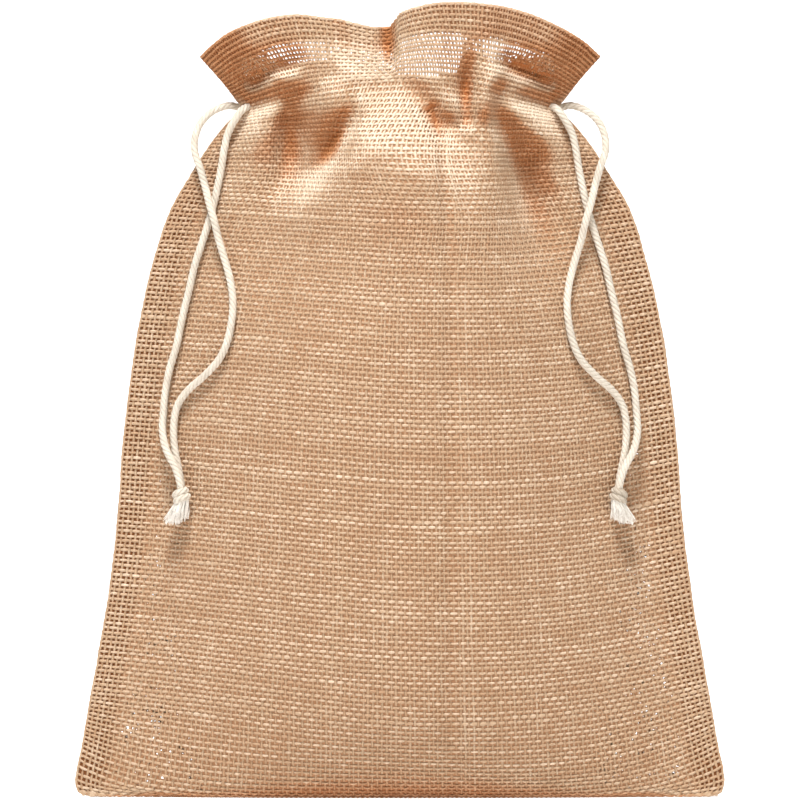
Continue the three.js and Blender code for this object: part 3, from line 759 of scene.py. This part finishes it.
def carried_normals(line, start):
    """Normals carried along a line without turning about it."""
    tangents = unit(np.gradient(line, axis=0))
    normals = np.zeros_like(line)
    normal = np.array(start, float)
    for i, tangent in enumerate(tangents):
        normal = normal - tangent * float(normal @ tangent)
        normal = normal / np.linalg.norm(normal)
        normals[i] = normal
    return normals


def lengths_along(line):
    """How far along a line each of its points lies."""
    return np.concatenate([[0.0], np.cumsum(np.linalg.norm(np.diff(line, axis=0), axis=1))])


def waves(rng, count, samples, cycles):
    """Smooth random waviness along many lines, between about -1 and 1."""
    t = np.linspace(0.0, 1.0, samples)[None, :]
    total = np.zeros((count, samples))
    for cycle in cycles:
        turns = cycle * rng.uniform(*WAVE_CYCLES_VARY, (count, 1))
        total += np.sin(2.0 * math.pi * (turns * t + rng.uniform(0.0, 1.0, (count, 1))))
    return total / len(cycles) ** 0.5 / WAVE_HEIGHT


def tube_rings(centres, normals, wide, high, sides):
    """Rings round many lines, from centres, normals, half widths and half heights per line and sample."""
    tangents = unit(np.gradient(centres, axis=1))
    across = unit(np.cross(normals, tangents))
    out = np.cross(tangents, across)
    angle = 2.0 * math.pi * np.arange(sides) / sides
    ring = (across[:, :, None, :] * (np.cos(angle)[None, None, :] * wide[:, :, None])[..., None]
            + out[:, :, None, :] * (np.sin(angle)[None, None, :] * high[:, :, None])[..., None])
    return centres[:, :, None, :] + ring


def tubes_mesh(name, rings, **values):
    """One mesh of many closed tubes, with a strip of the UV map for each and values along and round it."""
    tubes, samples, sides, _ = rings.shape
    index = np.arange(tubes * samples * sides).reshape(tubes, samples, sides)
    turned = np.roll(index, -1, axis=2)
    quads = np.stack([index[:, :-1], turned[:, :-1], turned[:, 1:], index[:, 1:]], axis=-1).reshape(-1)
    caps = np.concatenate([index[:, 0, ::-1], index[:, -1, :]]).reshape(-1)
    mesh = bpy.data.meshes.new(name)
    mesh.vertices.add(index.size)
    mesh.vertices.foreach_set("co", (rings * MM).astype(np.float32).reshape(-1))
    loops = np.concatenate([quads, caps])
    mesh.loops.add(len(loops))
    mesh.loops.foreach_set("vertex_index", loops.astype(np.int32))
    quad_starts = np.arange(0, len(quads), 4)
    cap_starts = len(quads) + np.arange(0, len(caps), sides)
    mesh.polygons.add(len(quad_starts) + len(cap_starts))
    mesh.polygons.foreach_set("loop_start", np.concatenate([quad_starts, cap_starts]).astype(np.int32))
    mesh.polygons.foreach_set("use_smooth", np.ones(len(mesh.polygons), bool))
    mesh.update(calc_edges=True)

    strip = UV_STRIPS / (tubes * sides)
    low = (np.arange(tubes * sides) * strip).reshape(tubes, 1, sides)
    low = np.broadcast_to(low, (tubes, samples - 1, sides))
    left = np.broadcast_to((np.arange(samples - 1) / (samples - 1))[None, :, None], low.shape)
    right = left + 1.0 / (samples - 1)
    corners = [(left, low), (left, low + strip), (right, low + strip), (right, low)]
    quad_uv = np.stack([np.stack(corner, axis=-1) for corner in corners], axis=-2).reshape(-1, 2)
    angle = 2.0 * math.pi * np.arange(sides) / sides
    cell = 1.0 / (2 * tubes)
    centre = (np.arange(2 * tubes) + 0.5) * cell
    cap_u = centre[:, None] + CAP_UV * cell * np.cos(angle)[None, :]
    cap_v = (1.0 + UV_STRIPS) / 2.0 + CAP_UV * (1.0 - UV_STRIPS) * np.sin(angle)[None, :]
    cap_uv = np.stack([cap_u, np.broadcast_to(cap_v, cap_u.shape)], axis=-1).reshape(-1, 2)
    uv = mesh.uv_layers.new(name=UV_NAME)
    uv.data.foreach_set("uv", np.concatenate([quad_uv, cap_uv]).astype(np.float32).reshape(-1))
    for kind, value in values.items():
        layer = mesh.attributes.new(kind, "FLOAT", "POINT")
        layer.data.foreach_set("value", np.broadcast_to(value, index.shape).astype(np.float32).reshape(-1))
    return mesh


def place_in_scene(name, data):
    made = bpy.data.objects.new(name, data)
    bpy.context.scene.collection.objects.link(made)
    return made


def add_piece(mesh, material):
    """A finished piece of the bag in its place."""
    mesh.materials.append(material)
    piece = place_in_scene(mesh.name, mesh)
    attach(piece, "root")
    return piece


class Wire:
    """A socket that can stand in an expression, which adds the Math nodes it needs."""

    def __init__(self, finish, socket):
        self.finish = finish
        self.socket = socket

    def _math(self, operation, other):
        return self.finish.node("ShaderNodeMath", {"operation": operation}, {0: self, 1: other})

    def __add__(self, other):
        return self._math("ADD", other)

    def __sub__(self, other):
        return self._math("SUBTRACT", other)

    def __rmul__(self, other):
        return self._math("MULTIPLY", other)


class Finish:
    """A procedural material while it is being wired."""

    def __init__(self, name):
        self.material = bpy.data.materials.new(name)
        self.material.use_nodes = True
        self.tree = self.material.node_tree
        self.surface = self.tree.nodes["Principled BSDF"]

    def node(self, kind, settings=None, inputs=None, output=0):
        """Any node: its settings are set first, then the values or links of its sockets."""
        made = self.tree.nodes.new(kind)
        for name, value in (settings or {}).items():
            setattr(made, name, value)
        for key, value in (inputs or {}).items():
            self.feed(made.inputs[key], value)
        return Wire(self, made.outputs[output])

    def feed(self, socket, value):
        if isinstance(value, Wire):
            self.tree.links.new(value.socket, socket)
        else:
            socket.default_value = value

    def value(self, name):
        """A value that the mesh holds at each of its points."""
        return self.node("ShaderNodeAttribute", {"attribute_name": name}, output="Fac")

    def ramp(self, factor, *stops):
        """Colours at their places on a ramp."""
        made = self.node("ShaderNodeValToRGB", {}, {"Fac": factor})
        elements = made.socket.node.color_ramp.elements
        while len(elements) < len(stops):
            elements.new(1.0)
        for element, (position, colour) in zip(elements, stops):
            element.position = position
            element.color = (*colour, 1.0)
        return made

    def noise(self, scale, detail):
        place = self.node("ShaderNodeTexCoord", output="Object")
        return self.node("ShaderNodeTexNoise", {}, {"Vector": place, "Scale": scale, "Detail": detail})

    def bump(self, strength, height):
        sockets = {"Strength": strength, "Distance": BUMP_DISTANCE, "Height": height}
        return self.node("ShaderNodeBump", {}, sockets)

    def creased(self, colour, colours):
        """A colour darkened by painted shade in the creases."""
        tint = (*colours.creased_tint, 1.0)
        return self.node("ShaderNodeMix", {"data_type": "RGBA", "blend_type": "MULTIPLY"},
                         {0: self.value(PAINTED_SHADE), 6: colour, 7: tint}, 2)

    def set(self, **sockets):
        for name, value in sockets.items():
            self.feed(self.surface.inputs[name.replace("_", " ")], value)
        return self.material


def jute_yarn(colours):
    finish = Finish("jute_yarn")
    fibres = finish.noise(*JUTE_FIBRES)
    patches = finish.noise(*JUTE_PATCHES)
    shade = finish.value(TONE) + JUTE_FIBRES_SHADE * (fibres - NOISE_MIDDLE)
    shade = shade + JUTE_PATCHES_SHADE * (patches - NOISE_MIDDLE)
    colour = finish.ramp(shade, (0.0, colours.jute_deep), (0.5, colours.jute), (1.0, colours.jute_pale))
    # Painted shade in the creases
    colour = finish.creased(colour, colours)
    bump = finish.bump(JUTE_BUMP, fibres)
    return finish.set(Base_Color=colour, Roughness=0.85, Normal=bump, Specular_IOR_Level=0.2)


def jute_ground(colours):
    """The fibres between the yarns, darkened as painted shade in the gaps and more so in the
    doubled seams and hem, and open where light shows through.
    """
    finish = Finish("jute_ground")
    fibres = finish.noise(*GROUND_FIBRES)
    shade = finish.value(GAP_SHADE) + GROUND_FIBRES_SHADE * (fibres - NOISE_MIDDLE)
    colour = finish.ramp(shade, (0.0, colours.fibres_and_shade_between), (1.0, colours.gaps))
    # Painted shade in the creases
    colour = finish.creased(colour, colours)
    holes = finish.noise(*HOLES) + HOLES_VARY * (finish.noise(*HOLE_PATCHES) - NOISE_MIDDLE)
    opened = finish.value(OPEN)
    cover = finish.node("ShaderNodeMath", {"operation": "GREATER_THAN"}, {0: holes, 1: opened})
    return finish.set(Base_Color=colour, Roughness=0.95, Alpha=cover, Specular_IOR_Level=0.1)


def cotton(colours):
    if "cotton_cord" in bpy.data.materials:
        return bpy.data.materials["cotton_cord"]
    finish = Finish("cotton_cord")
    fibres = finish.noise(*COTTON_FIBRES)
    shade = finish.value(TONE) + COTTON_FIBRES_SHADE * (fibres - NOISE_MIDDLE)
    middle = (COTTON_FROM_TONE, colours.cotton)
    colour = finish.ramp(shade, (0.0, colours.cotton_shade), middle, (1.0, colours.cotton_pale))
    bump = finish.bump(COTTON_BUMP, fibres)
    return finish.set(Base_Color=colour, Roughness=0.8, Normal=bump, Specular_IOR_Level=0.25)


def studio_white(name, glow):
    finish = Finish(name)
    finish.set(Emission_Color=STUDIO_GLOW, Emission_Strength=glow)
    return finish.set(Base_Color=STUDIO_WHITE, Roughness=1.0, Specular_IOR_Level=0.0)


def colour(name, description, default):
    return FloatVectorProperty(name=name, description=description, default=default, subtype="COLOR", size=3,
                               min=0.0, max=1.0)


def length(name, description, default):
    return FloatProperty(name=name, description=description, default=default, unit="LENGTH")


def number(name, description, default, least):
    return IntProperty(name=name, description=description, default=default, min=least)


class BagColours(bpy.types.PropertyGroup):
    jute: colour("Jute", "Middle colour of the jute yarn", (0.465, 0.318, 0.202))
    # Pale jute is the colour of the palest yarns and also of the painted light on up-facing cloth
    jute_pale: colour("Pale jute", "Colour of the palest yarns", (0.80, 0.665, 0.52))
    jute_deep: colour("Deep jute", "Colour of the darkest yarns", (0.38, 0.20, 0.10))
    # The tint that paints shade into hollows, under the front and under the foot
    creased_tint: colour("Tint in creases", "Tint of the jute deep in its creases", (0.80, 0.48, 0.28))
    # Between the yarns: the fibres' colour, darkened as painted shade in the gaps
    fibres_and_shade_between: colour("Between the yarns", "Colour of the fibres between the yarns", (0.40, 0.22, 0.12))
    # Gaps: painted shade where two layers meet in the seams and the hem
    gaps: colour("Gaps", "Colour of the deep gaps in the seams and the hem", (0.17, 0.065, 0.025))
    cotton: colour("Cotton", "Colour of the cords", (0.67, 0.615, 0.53))
    cotton_pale: colour("Pale cotton", "Colour of the frayed ends", (0.90, 0.87, 0.82))
    # Shaded cotton also gives the painted shade in the grooves between the plies
    cotton_shade: colour("Shaded cotton", "Colour of the darker fibres of the cords", (0.40, 0.34, 0.27))


class BagCloth(bpy.types.PropertyGroup):
    warps: number("Warps", "Yarns that run up each side of the bag", 139, 20)
    wefts: number("Wefts", "Yarns that run across each side of the bag", 170, 20)
    warp_width: length("Warp width", "Width of a warp yarn", 0.00094)
    weft_width: length("Weft width", "Width of a weft yarn", 0.00102)
    yarn_height: length("Yarn height", "Thickness of a yarn, square to the cloth", 0.0008)
    crimp: length("Crimp", "How far a yarn rises and dips at each crossing", 0.00036)
    hem: length("Hem", "Length of the hem turned in at the top edge", 0.010)


class BagCords(bpy.types.PropertyGroup):
    diameter: length("Diameter", "Thickness of a cord", 0.003)
    lay: length("Lay", "Length of one turn of the plies", 0.009)
    strands: number("Frayed strands", "Strands below each end knot", 190, 10)


class BagStage(bpy.types.PropertyGroup):
    distance: length("Camera distance", "How far the camera stands from the bag", 6.0)
    view_width: length("View width", "Width of the picture at the bag", 0.3089)
    view_height: length("View height", "Height of the picture's middle", 0.1533)


class BAG_OT_stage(bpy.types.Operator):
    """Sets the camera, the pale floor and the soft studio light"""

    bl_idname = "gift_bag.stage"
    bl_label = "Set the studio"

    def execute(self, context):
        stage = context.scene.bag_stage
        lens = bpy.data.cameras.new("camera")
        lens.sensor_width = SENSOR_WIDTH
        lens.lens = SENSOR_WIDTH * stage.distance / stage.view_width
        lens.clip_end = CAMERA_REACH
        camera = place_in_scene("camera", lens)
        camera.location = (0.0, -stage.distance, stage.view_height)
        camera.rotation_euler = (math.radians(90.0), 0.0, 0.0)
        context.scene.camera = camera
        self.lay_floor()
        for name, place, size, power, colour in LIGHTS:
            light = bpy.data.lights.new(name, "AREA")
            light.size = size
            light.energy = power
            light.color = colour
            lamp = place_in_scene(name, light)
            lamp.location = place
            aim = Vector(LIGHT_AIM) - lamp.location
            lamp.rotation_euler = aim.to_track_quat("-Z", "Y").to_euler()

        world = bpy.data.worlds.new("studio")
        world.use_nodes = True
        world.node_tree.nodes["Background"].inputs["Color"].default_value = WORLD_COLOUR
        world.node_tree.nodes["Background"].inputs["Strength"].default_value = WORLD_LIGHT
        context.scene.world = world
        context.scene.view_settings.view_transform = "Standard"
        return {"FINISHED"}

    def lay_floor(self):
        """A floor with a low rim that sweeps up into a backdrop, which glows."""
        sweep = bmesh.new()
        corners = [sweep.verts.new((x, SWEEP[0][0], rim + SWEEP[0][1])) for x, rim in SWEEP_ACROSS]
        lines = [sweep.edges.new(pair) for pair in zip(corners, corners[1:])]
        for (last_y, last_z), (y, z) in zip(SWEEP, SWEEP[1:]):
            made = bmesh.ops.extrude_edge_only(sweep, edges=lines)["geom"]
            lines = [part for part in made if isinstance(part, bmesh.types.BMEdge)]
            moved = [part for part in made if isinstance(part, bmesh.types.BMVert)]
            bmesh.ops.translate(sweep, vec=(0.0, y - last_y, z - last_z), verts=moved)
        for face in sweep.faces:
            face.smooth = True
            middle = face.calc_center_median()
            face.material_index = int(middle.z > 0.0 or middle.y > BACKDROP_FROM_Y)
        bmesh.ops.recalc_face_normals(sweep, faces=sweep.faces)
        mesh = bpy.data.meshes.new("floor")
        sweep.to_mesh(mesh)
        sweep.free()
        mesh.materials.append(studio_white("floor_white", FLOOR_GLOW))
        mesh.materials.append(studio_white("backdrop_white", BACKDROP_GLOW))
        place_in_scene("floor", mesh)


class BAG_OT_knots(bpy.types.Operator):
    """Ties the end knot of each drawstring, with its frayed ends below"""

    bl_idname = "gift_bag.knots"
    bl_label = "Tie the end knots"

    def execute(self, context):
        cords = context.scene.bag_cords
        material = cotton(context.scene.bag_colours)
        radius = KNOT_CORD * cords.diameter / MM / 2.0
        rng = np.random.default_rng(KNOT_SEED)
        for side, word in SIDES:
            rings, tone = laid_plies(knot_line(), radius, cords.lay / MM, rng)
            mesh = tubes_mesh(f"{word}_knot", placed_at_knot(rings, side), tone=tone)
            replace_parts(add_piece(mesh, material), f"{word}_end_knot")
            rings, tone = frayed_strands(cords.strands, rng)
            mesh = tubes_mesh(f"{word}_fray", placed_at_knot(rings, side), tone=tone)
            add_piece(mesh, material)
        return {"FINISHED"}


class BAG_OT_cords(bpy.types.Operator):
    """Lays the free ends of both drawstrings, each of four twisted plies"""

    bl_idname = "gift_bag.cords"
    bl_label = "Lay the cords"

    def execute(self, context):
        cords = context.scene.bag_cords
        material = cotton(context.scene.bag_colours)
        radius = cords.diameter / MM / 2.0
        rng = np.random.default_rng(CORD_SEED)
        for side, word in SIDES:
            for route, kind in ((LOOP_ROUTE, "loop"), (STRAIGHT_ROUTE, "straight")):
                points = cord_points(route, side, radius)
                line = smooth_line(points, CORD_STEP)
                name = f"{word}_cord_{kind}"
                rings, tone = laid_plies(line, radius, cords.lay / MM, rng)
                cord = add_piece(tubes_mesh(f"{name}_plies", rings, tone=tone), material)
                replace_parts(cord, name)
        return {"FINISHED"}


def knot_line():
    """The cord wound round the two ends, about the knot's own middle, up to the right at the front."""
    turn = np.linspace(0.0, KNOT_TURNS, KNOT_STEPS)
    angle = KNOT_START - 2.0 * math.pi * turn
    tucked = 1.0 - ease(0.0, KNOT_TUCK, turn) * ease(0.0, KNOT_TUCK, KNOT_TURNS - turn)
    around = KNOT_WINDING - KNOT_TUCKED_IN * tucked
    height = KNOT_TOP - KNOT_PITCH * turn
    return np.stack([around * np.cos(angle), around * np.sin(angle), height], axis=1)


def frayed_strands(count, rng):
    """The frayed ends below the left knot, flaring to the lower outside."""
    out = np.sqrt(rng.uniform(0.0, 1.0, count))
    angle = rng.uniform(0.0, 2.0 * math.pi, count)
    across = (out * np.cos(angle))[:, None]
    deep = (out * np.sin(angle))[:, None]
    reach = (rng.uniform(*FRAY_LENGTH, count) - FRAY_ROUNDED * out)[:, None]
    t = np.linspace(0.0, 1.0, FRAY_SAMPLES)[None, :]
    curl = FRAY_CURL * t * waves(rng, count, FRAY_SAMPLES, FRAY_WAVES)
    swing = FRAY_CURL * t * waves(rng, count, FRAY_SAMPLES, FRAY_WAVES)
    centres = np.zeros((count, FRAY_SAMPLES, 3))
    centres[..., 0] = across * FRAY_ROOT + (across * FRAY_SPREAD + FRAY_LEAN) * t + curl
    centres[..., 1] = deep * FRAY_ROOT * FRAY_FLAT + deep * FRAY_SPREAD * FRAY_FLAT * t + swing
    centres[..., 2] = -FRAY_FROM - reach * t
    normals = np.broadcast_to(np.array([0.0, -1.0, 0.0]), centres.shape)
    size = FRAY_STRAND * (1.0 - FRAY_TAPER * t) * rng.uniform(*FRAY_SIZES, (count, 1))
    tone = rng.uniform(*FRAY_TONES, (count, 1, 1))
    return tube_rings(centres, normals, size, size, FRAY_SIDES), tone


def placed_at_knot(rings, side):
    """Rings round the left knot's own middle, moved to a side's knot. The right one mirrors the left."""
    lean = math.atan(KNOT_LEAN)
    x = (rings[..., 0] * math.cos(lean) + rings[..., 2] * math.sin(lean)) * -side
    y = rings[..., 1]
    z = rings[..., 2] * math.cos(lean) - rings[..., 0] * math.sin(lean)
    knot_x = -side * KNOT_X
    middle = above_cloth(knot_x, KNOT_Z, KNOT_RADIUS + CORD_CLEARANCE)
    turn = -math.atan(front_slopes(knot_x, KNOT_Z)[0])
    across = x * math.cos(turn) - y * math.sin(turn)
    deep = x * math.sin(turn) + y * math.cos(turn)
    placed = np.stack([across, deep, z], axis=-1) + middle
    return placed[:, :, ::-1, :] if side > 0.0 else placed


def laid_plies(line, radius, lay, rng):
    """Plies twisted round a line, as rings and tones."""
    samples = len(line)
    normals = carried_normals(line, PLY_START)
    tangents = unit(np.gradient(line, axis=0))
    binormals = np.cross(tangents, normals)
    along = lengths_along(line)
    ply = PLY_SHARE * radius
    centres = np.zeros((PLIES, samples, 3))
    outward = np.zeros((PLIES, samples, 3))
    for p in range(PLIES):
        angle = 2.0 * math.pi * (p / PLIES - along / lay)
        outward[p] = normals * np.cos(angle)[:, None] + binormals * np.sin(angle)[:, None]
        centres[p] = line + outward[p] * (radius - ply)
    size = ply * (1.0 + PLY_SIZE_VARIES * waves(rng, PLIES, samples, PLY_SIZE_WAVES))
    tone = PLY_TONE + PLY_TONE_VARIES * waves(rng, PLIES, samples, PLY_TONE_WAVES)
    # Painted shade on the sides of each ply that face into the grooves
    facing_out = np.sin(2.0 * math.pi * np.arange(PLY_SIDES) / PLY_SIDES)
    groove_shade = 1.0 - ease(*PLY_GROOVE, facing_out)
    return (tube_rings(centres, outward, size * PLY_FLAT, size, PLY_SIDES),
            tone[..., None] - PLY_GROOVE_SHADE * groove_shade[None, None, :])


class BAG_OT_yarns(bpy.types.Operator):
    """Weaves the warps and the wefts of the front and the back"""

    bl_idname = "gift_bag.yarns"
    bl_label = "Weave the yarns"

    def execute(self, context):
        material = jute_yarn(context.scene.bag_colours)
        rng = np.random.default_rng(YARN_SEED)
        for panel, word in PANELS:
            for kind, rings, tone, creased in self.weave(context.scene.bag_cloth, panel, rng):
                rings[..., 2] = np.maximum(rings[..., 2], 0.0)
                mesh = tubes_mesh(f"{word}_{kind}", rings, tone=tone[..., None], creased=creased[..., None])
                add_piece(mesh, material)
        return {"FINISHED"}

    def weave(self, cloth, panel, rng):
        """The wefts and the warps of one panel, with the hem's turned-in layer."""
        warps = cloth.warps
        wefts = cloth.wefts
        us = 2.0 * (np.arange(warps) + 0.5) / warps - 1.0
        vs = weft_rows(wefts)
        points, normals = panel.grid(us, vs)
        hem = cloth.hem / MM / PANEL_LENGTH
        opened = openness(panel, points, us, vs, 1.0 - hem)
        creased, painted_light = drape_shade_and_light(panel, points, normals, us, vs)
        # No painted light where light shows through the cloth
        painted_light = painted_light * (1.0 - opened)
        turned = int(np.sum(vs > 1.0 - hem))
        rows = np.concatenate([np.arange(wefts), wefts - 1 - np.arange(turned)])
        loose = 1.0 - ease(HEM_LOOSE_U, SEAM_U, np.abs(us))
        depth = edge_depth(us) + HEM_LAYER * (np.arange(len(rows)) >= wefts)[:, None] * loose[None, :]
        normals = normals[rows]
        points = points[rows] - normals * depth[..., None]
        creased = creased[rows]
        painted_light = painted_light[rows]
        count = len(rows)
        over = np.where((np.arange(count)[:, None] + np.arange(warps)[None, :]) % 2 == 0, 1.0, -1.0)
        lift = cloth.crimp / MM * over + WEFT_PROUD
        high = cloth.yarn_height / MM / 2.0

        upward = unit(np.gradient(points, axis=0))
        centres = points + normals * lift[..., None] + upward * yarn_wander(rng, count, warps)[..., None]
        size = cloth.weft_width / MM / 2.0 * yarn_sizes(rng, count, warps) * (1.0 + FLOAT_SWELLS * over)
        weft = tube_rings(centres, normals, size, np.full(size.shape, high), YARN_SIDES)
        # Painted light on the wefts, and on cloth that faces up
        yield "wefts", weft, yarn_tones(rng, count, warps) + WEFT_LIGHT_WARP_SHADE + painted_light, creased

        sideways = unit(np.gradient(points, axis=1))
        strays = yarn_wander(rng, warps, count).T
        centres = points - normals * lift[..., None] + sideways * strays[..., None]
        pitch = np.linalg.norm(np.gradient(points, axis=1), axis=2)
        room = np.minimum(WARP_FILLS / 2.0 * pitch, cloth.warp_width / MM / 2.0)
        size = room * yarn_sizes(rng, warps, count).T * (1.0 - FLOAT_SWELLS * over)
        warp = tube_rings(centres.transpose(1, 0, 2), normals.transpose(1, 0, 2), size.T,
                          np.full(size.T.shape, high), YARN_SIDES)
        # Painted shade on the warps, with painted light on cloth that faces up
        yield "warps", warp, yarn_tones(rng, warps, count) - WEFT_LIGHT_WARP_SHADE + painted_light.T, creased.T


def weft_rows(count):
    """How far up the cloth wefts lie, evenly spaced on the whole over the front."""
    dense = np.linspace(0.0, 1.0, ROW_SAMPLES)
    points, _ = FRONT.grid(np.linspace(-SEAM_U, SEAM_U, GRID_COLUMNS), dense)
    step = np.linalg.norm(np.diff(points, axis=0), axis=2).mean(axis=1)
    along = np.concatenate([[0.0], np.cumsum(step)])
    return np.interp((np.arange(count) + 0.5) / count * along[-1], along, dense)


def edge_depth(us):
    """How far the middle of the cloth lies below its outer face: at the side edges front and back meet."""
    return CLOTH / 2.0 + (SEAM_HALF_THICKNESS - CLOTH / 2.0) * ease(*EDGES_MEET_U, np.abs(us))


def yarn_wander(rng, count, samples):
    """How far yarns stray from their places in the cloth."""
    strays = YARN_STRAYS * waves(rng, count, samples, YARN_STRAY_WAVES)
    return strays + rng.normal(0.0, YARN_JITTER, (count, samples))


def yarn_sizes(rng, count, samples):
    """Uneven thickness along spun yarns, with a slub here and there."""
    size = np.exp(rng.normal(0.0, YARN_SIZE_SPREAD, (count, 1)))
    size = size * (1.0 + YARN_SIZE_VARIES * waves(rng, count, samples, YARN_SIZE_WAVES))
    place = rng.uniform(0.0, samples, (count, 1))
    slub = np.where(rng.uniform(0.0, 1.0, (count, 1)) < SLUB_SHARE, SLUB_SWELLS, 0.0)
    return size * (1.0 + slub * np.exp(-((np.arange(samples)[None, :] - place) / SLUB_REACH) ** 2))


def yarn_tones(rng, count, samples):
    tone = YARN_TONE + rng.normal(0.0, YARN_TONE_SPREAD, (count, 1))
    tone = tone + YARN_TONE_VARIES * waves(rng, count, samples, YARN_TONE_WAVES)
    return np.clip(tone + rng.normal(0.0, YARN_TONE_JITTER, (count, samples)), *YARN_TONES)


class BAG_OT_cloth(bpy.types.Operator):
    """Drapes the bag's cloth, folded across the bottom, as the ground of fibres between the yarns,
    coloured as painted shade in their gaps
    """

    bl_idname = "gift_bag.cloth"
    bl_label = "Drape the cloth"

    def execute(self, context):
        hem_v = 1.0 - context.scene.bag_cloth.hem / MM / PANEL_LENGTH
        sheet = bmesh.new()
        sheet.loops.layers.uv.new(UV_NAME)
        bmesh.ops.create_grid(sheet, x_segments=GROUND_COLUMNS, y_segments=GROUND_ROWS, size=1.0,
                              calc_uvs=True)
        open_layer = sheet.verts.layers.float.new(OPEN)
        gap_shade_layer = sheet.verts.layers.float.new(GAP_SHADE)
        creased_layer = sheet.verts.layers.float.new(PAINTED_SHADE)
        flat = np.array([corner.co for corner in sheet.verts])
        us, column = np.unique(flat[:, 0].round(6), return_inverse=True)
        ups, row = np.unique(flat[:, 1].round(6), return_inverse=True)
        us = us * GROUND_REACH_U
        ups = ups * GROUND_REACH_V
        places = np.zeros((len(ups), len(us), 3))
        opened = np.zeros((len(ups), len(us)))
        creased = np.zeros((len(ups), len(us)))
        for panel, rows in ((FRONT, np.flatnonzero(ups >= 0.0)), (BACK, np.flatnonzero(ups < 0.0)[::-1])):
            vs = np.abs(ups[rows])
            points, normals = panel.grid(us, vs)
            opened[rows] = openness(panel, points, us, vs, hem_v)
            creased[rows] = drape_shade_and_light(panel, points, normals, us, vs)[0]
            places[rows] = points - normals * (edge_depth(us) + GROUND_DEPTH)[None, :, None]
        places[..., 2] = np.maximum(places[..., 2], 0.0)
        # Painted shade between the layers in the seams and the hem
        seam_gap_shade = ease(SEAM_U - SEAM_SOFT_U, SEAM_U + SEAM_SOFT_U, np.abs(us))[None, :]
        seam_gap_shade = seam_gap_shade * (1.0 - ease(*SEAM_GAP_SHADE_TO_V, np.abs(ups)))[:, None]
        hem_gap_shade = HEM_GAP_SHADE * ease(hem_v - HEM_SOFT_V, hem_v, np.abs(ups))[:, None]
        deep = np.maximum(seam_gap_shade, hem_gap_shade)
        for corner, i, j in zip(sheet.verts, column, row):
            corner.co = Vector(places[j, i] * MM)
            corner[open_layer] = opened[j, i]
            corner[gap_shade_layer] = deep[j, i]
            corner[creased_layer] = creased[j, i]
        for face in sheet.faces:
            face.smooth = True
        bmesh.ops.recalc_face_normals(sheet, faces=sheet.faces)
        mesh = bpy.data.meshes.new("cloth_ground")
        sheet.to_mesh(mesh)
        sheet.free()
        ground = add_piece(mesh, jute_ground(context.scene.bag_colours))
        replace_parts(ground, "bag_body")
        return {"FINISHED"}


class BAG_PT_sidebar(bpy.types.Panel):
    """Lists the steps that dress the bag"""

    bl_idname = "BAG_PT_sidebar"
    bl_label = "Gift bag"
    bl_space_type = "VIEW_3D"
    bl_region_type = "UI"
    bl_category = "Gift bag"

    def draw(self, context):
        for name in SETTINGS:
            settings = getattr(context.scene, name)
            box = self.layout.box()
            for value in settings.__annotations__:
                box.prop(settings, value)
        for step in STEPS:
            self.layout.operator(step.bl_idname)


STEPS = (BAG_OT_stage, BAG_OT_knots, BAG_OT_cords, BAG_OT_yarns, BAG_OT_cloth)
SETTINGS = {"bag_colours": BagColours, "bag_cloth": BagCloth, "bag_cords": BagCords, "bag_stage": BagStage}
CLASSES = (*SETTINGS.values(), *STEPS, BAG_PT_sidebar)


def register():
    for made in CLASSES:
        bpy.utils.register_class(made)
    for name, kind in SETTINGS.items():
        setattr(bpy.types.Scene, name, PointerProperty(type=kind))


def unregister():
    for name in SETTINGS:
        delattr(bpy.types.Scene, name)
    for made in reversed(CLASSES):
        bpy.utils.unregister_class(made)


def main():
    for thing in list(bpy.data.objects):
        if thing.type in {"CAMERA", "LIGHT"} or thing.name == "Cube":
            bpy.data.objects.remove(thing)
    register()
    bpy.ops.gift_bag.stage()
    bpy.ops.gift_bag.knots()
    bpy.ops.gift_bag.cords()
    bpy.ops.gift_bag.yarns()
    bpy.ops.gift_bag.cloth()


if __name__ == "__main__":
    main()
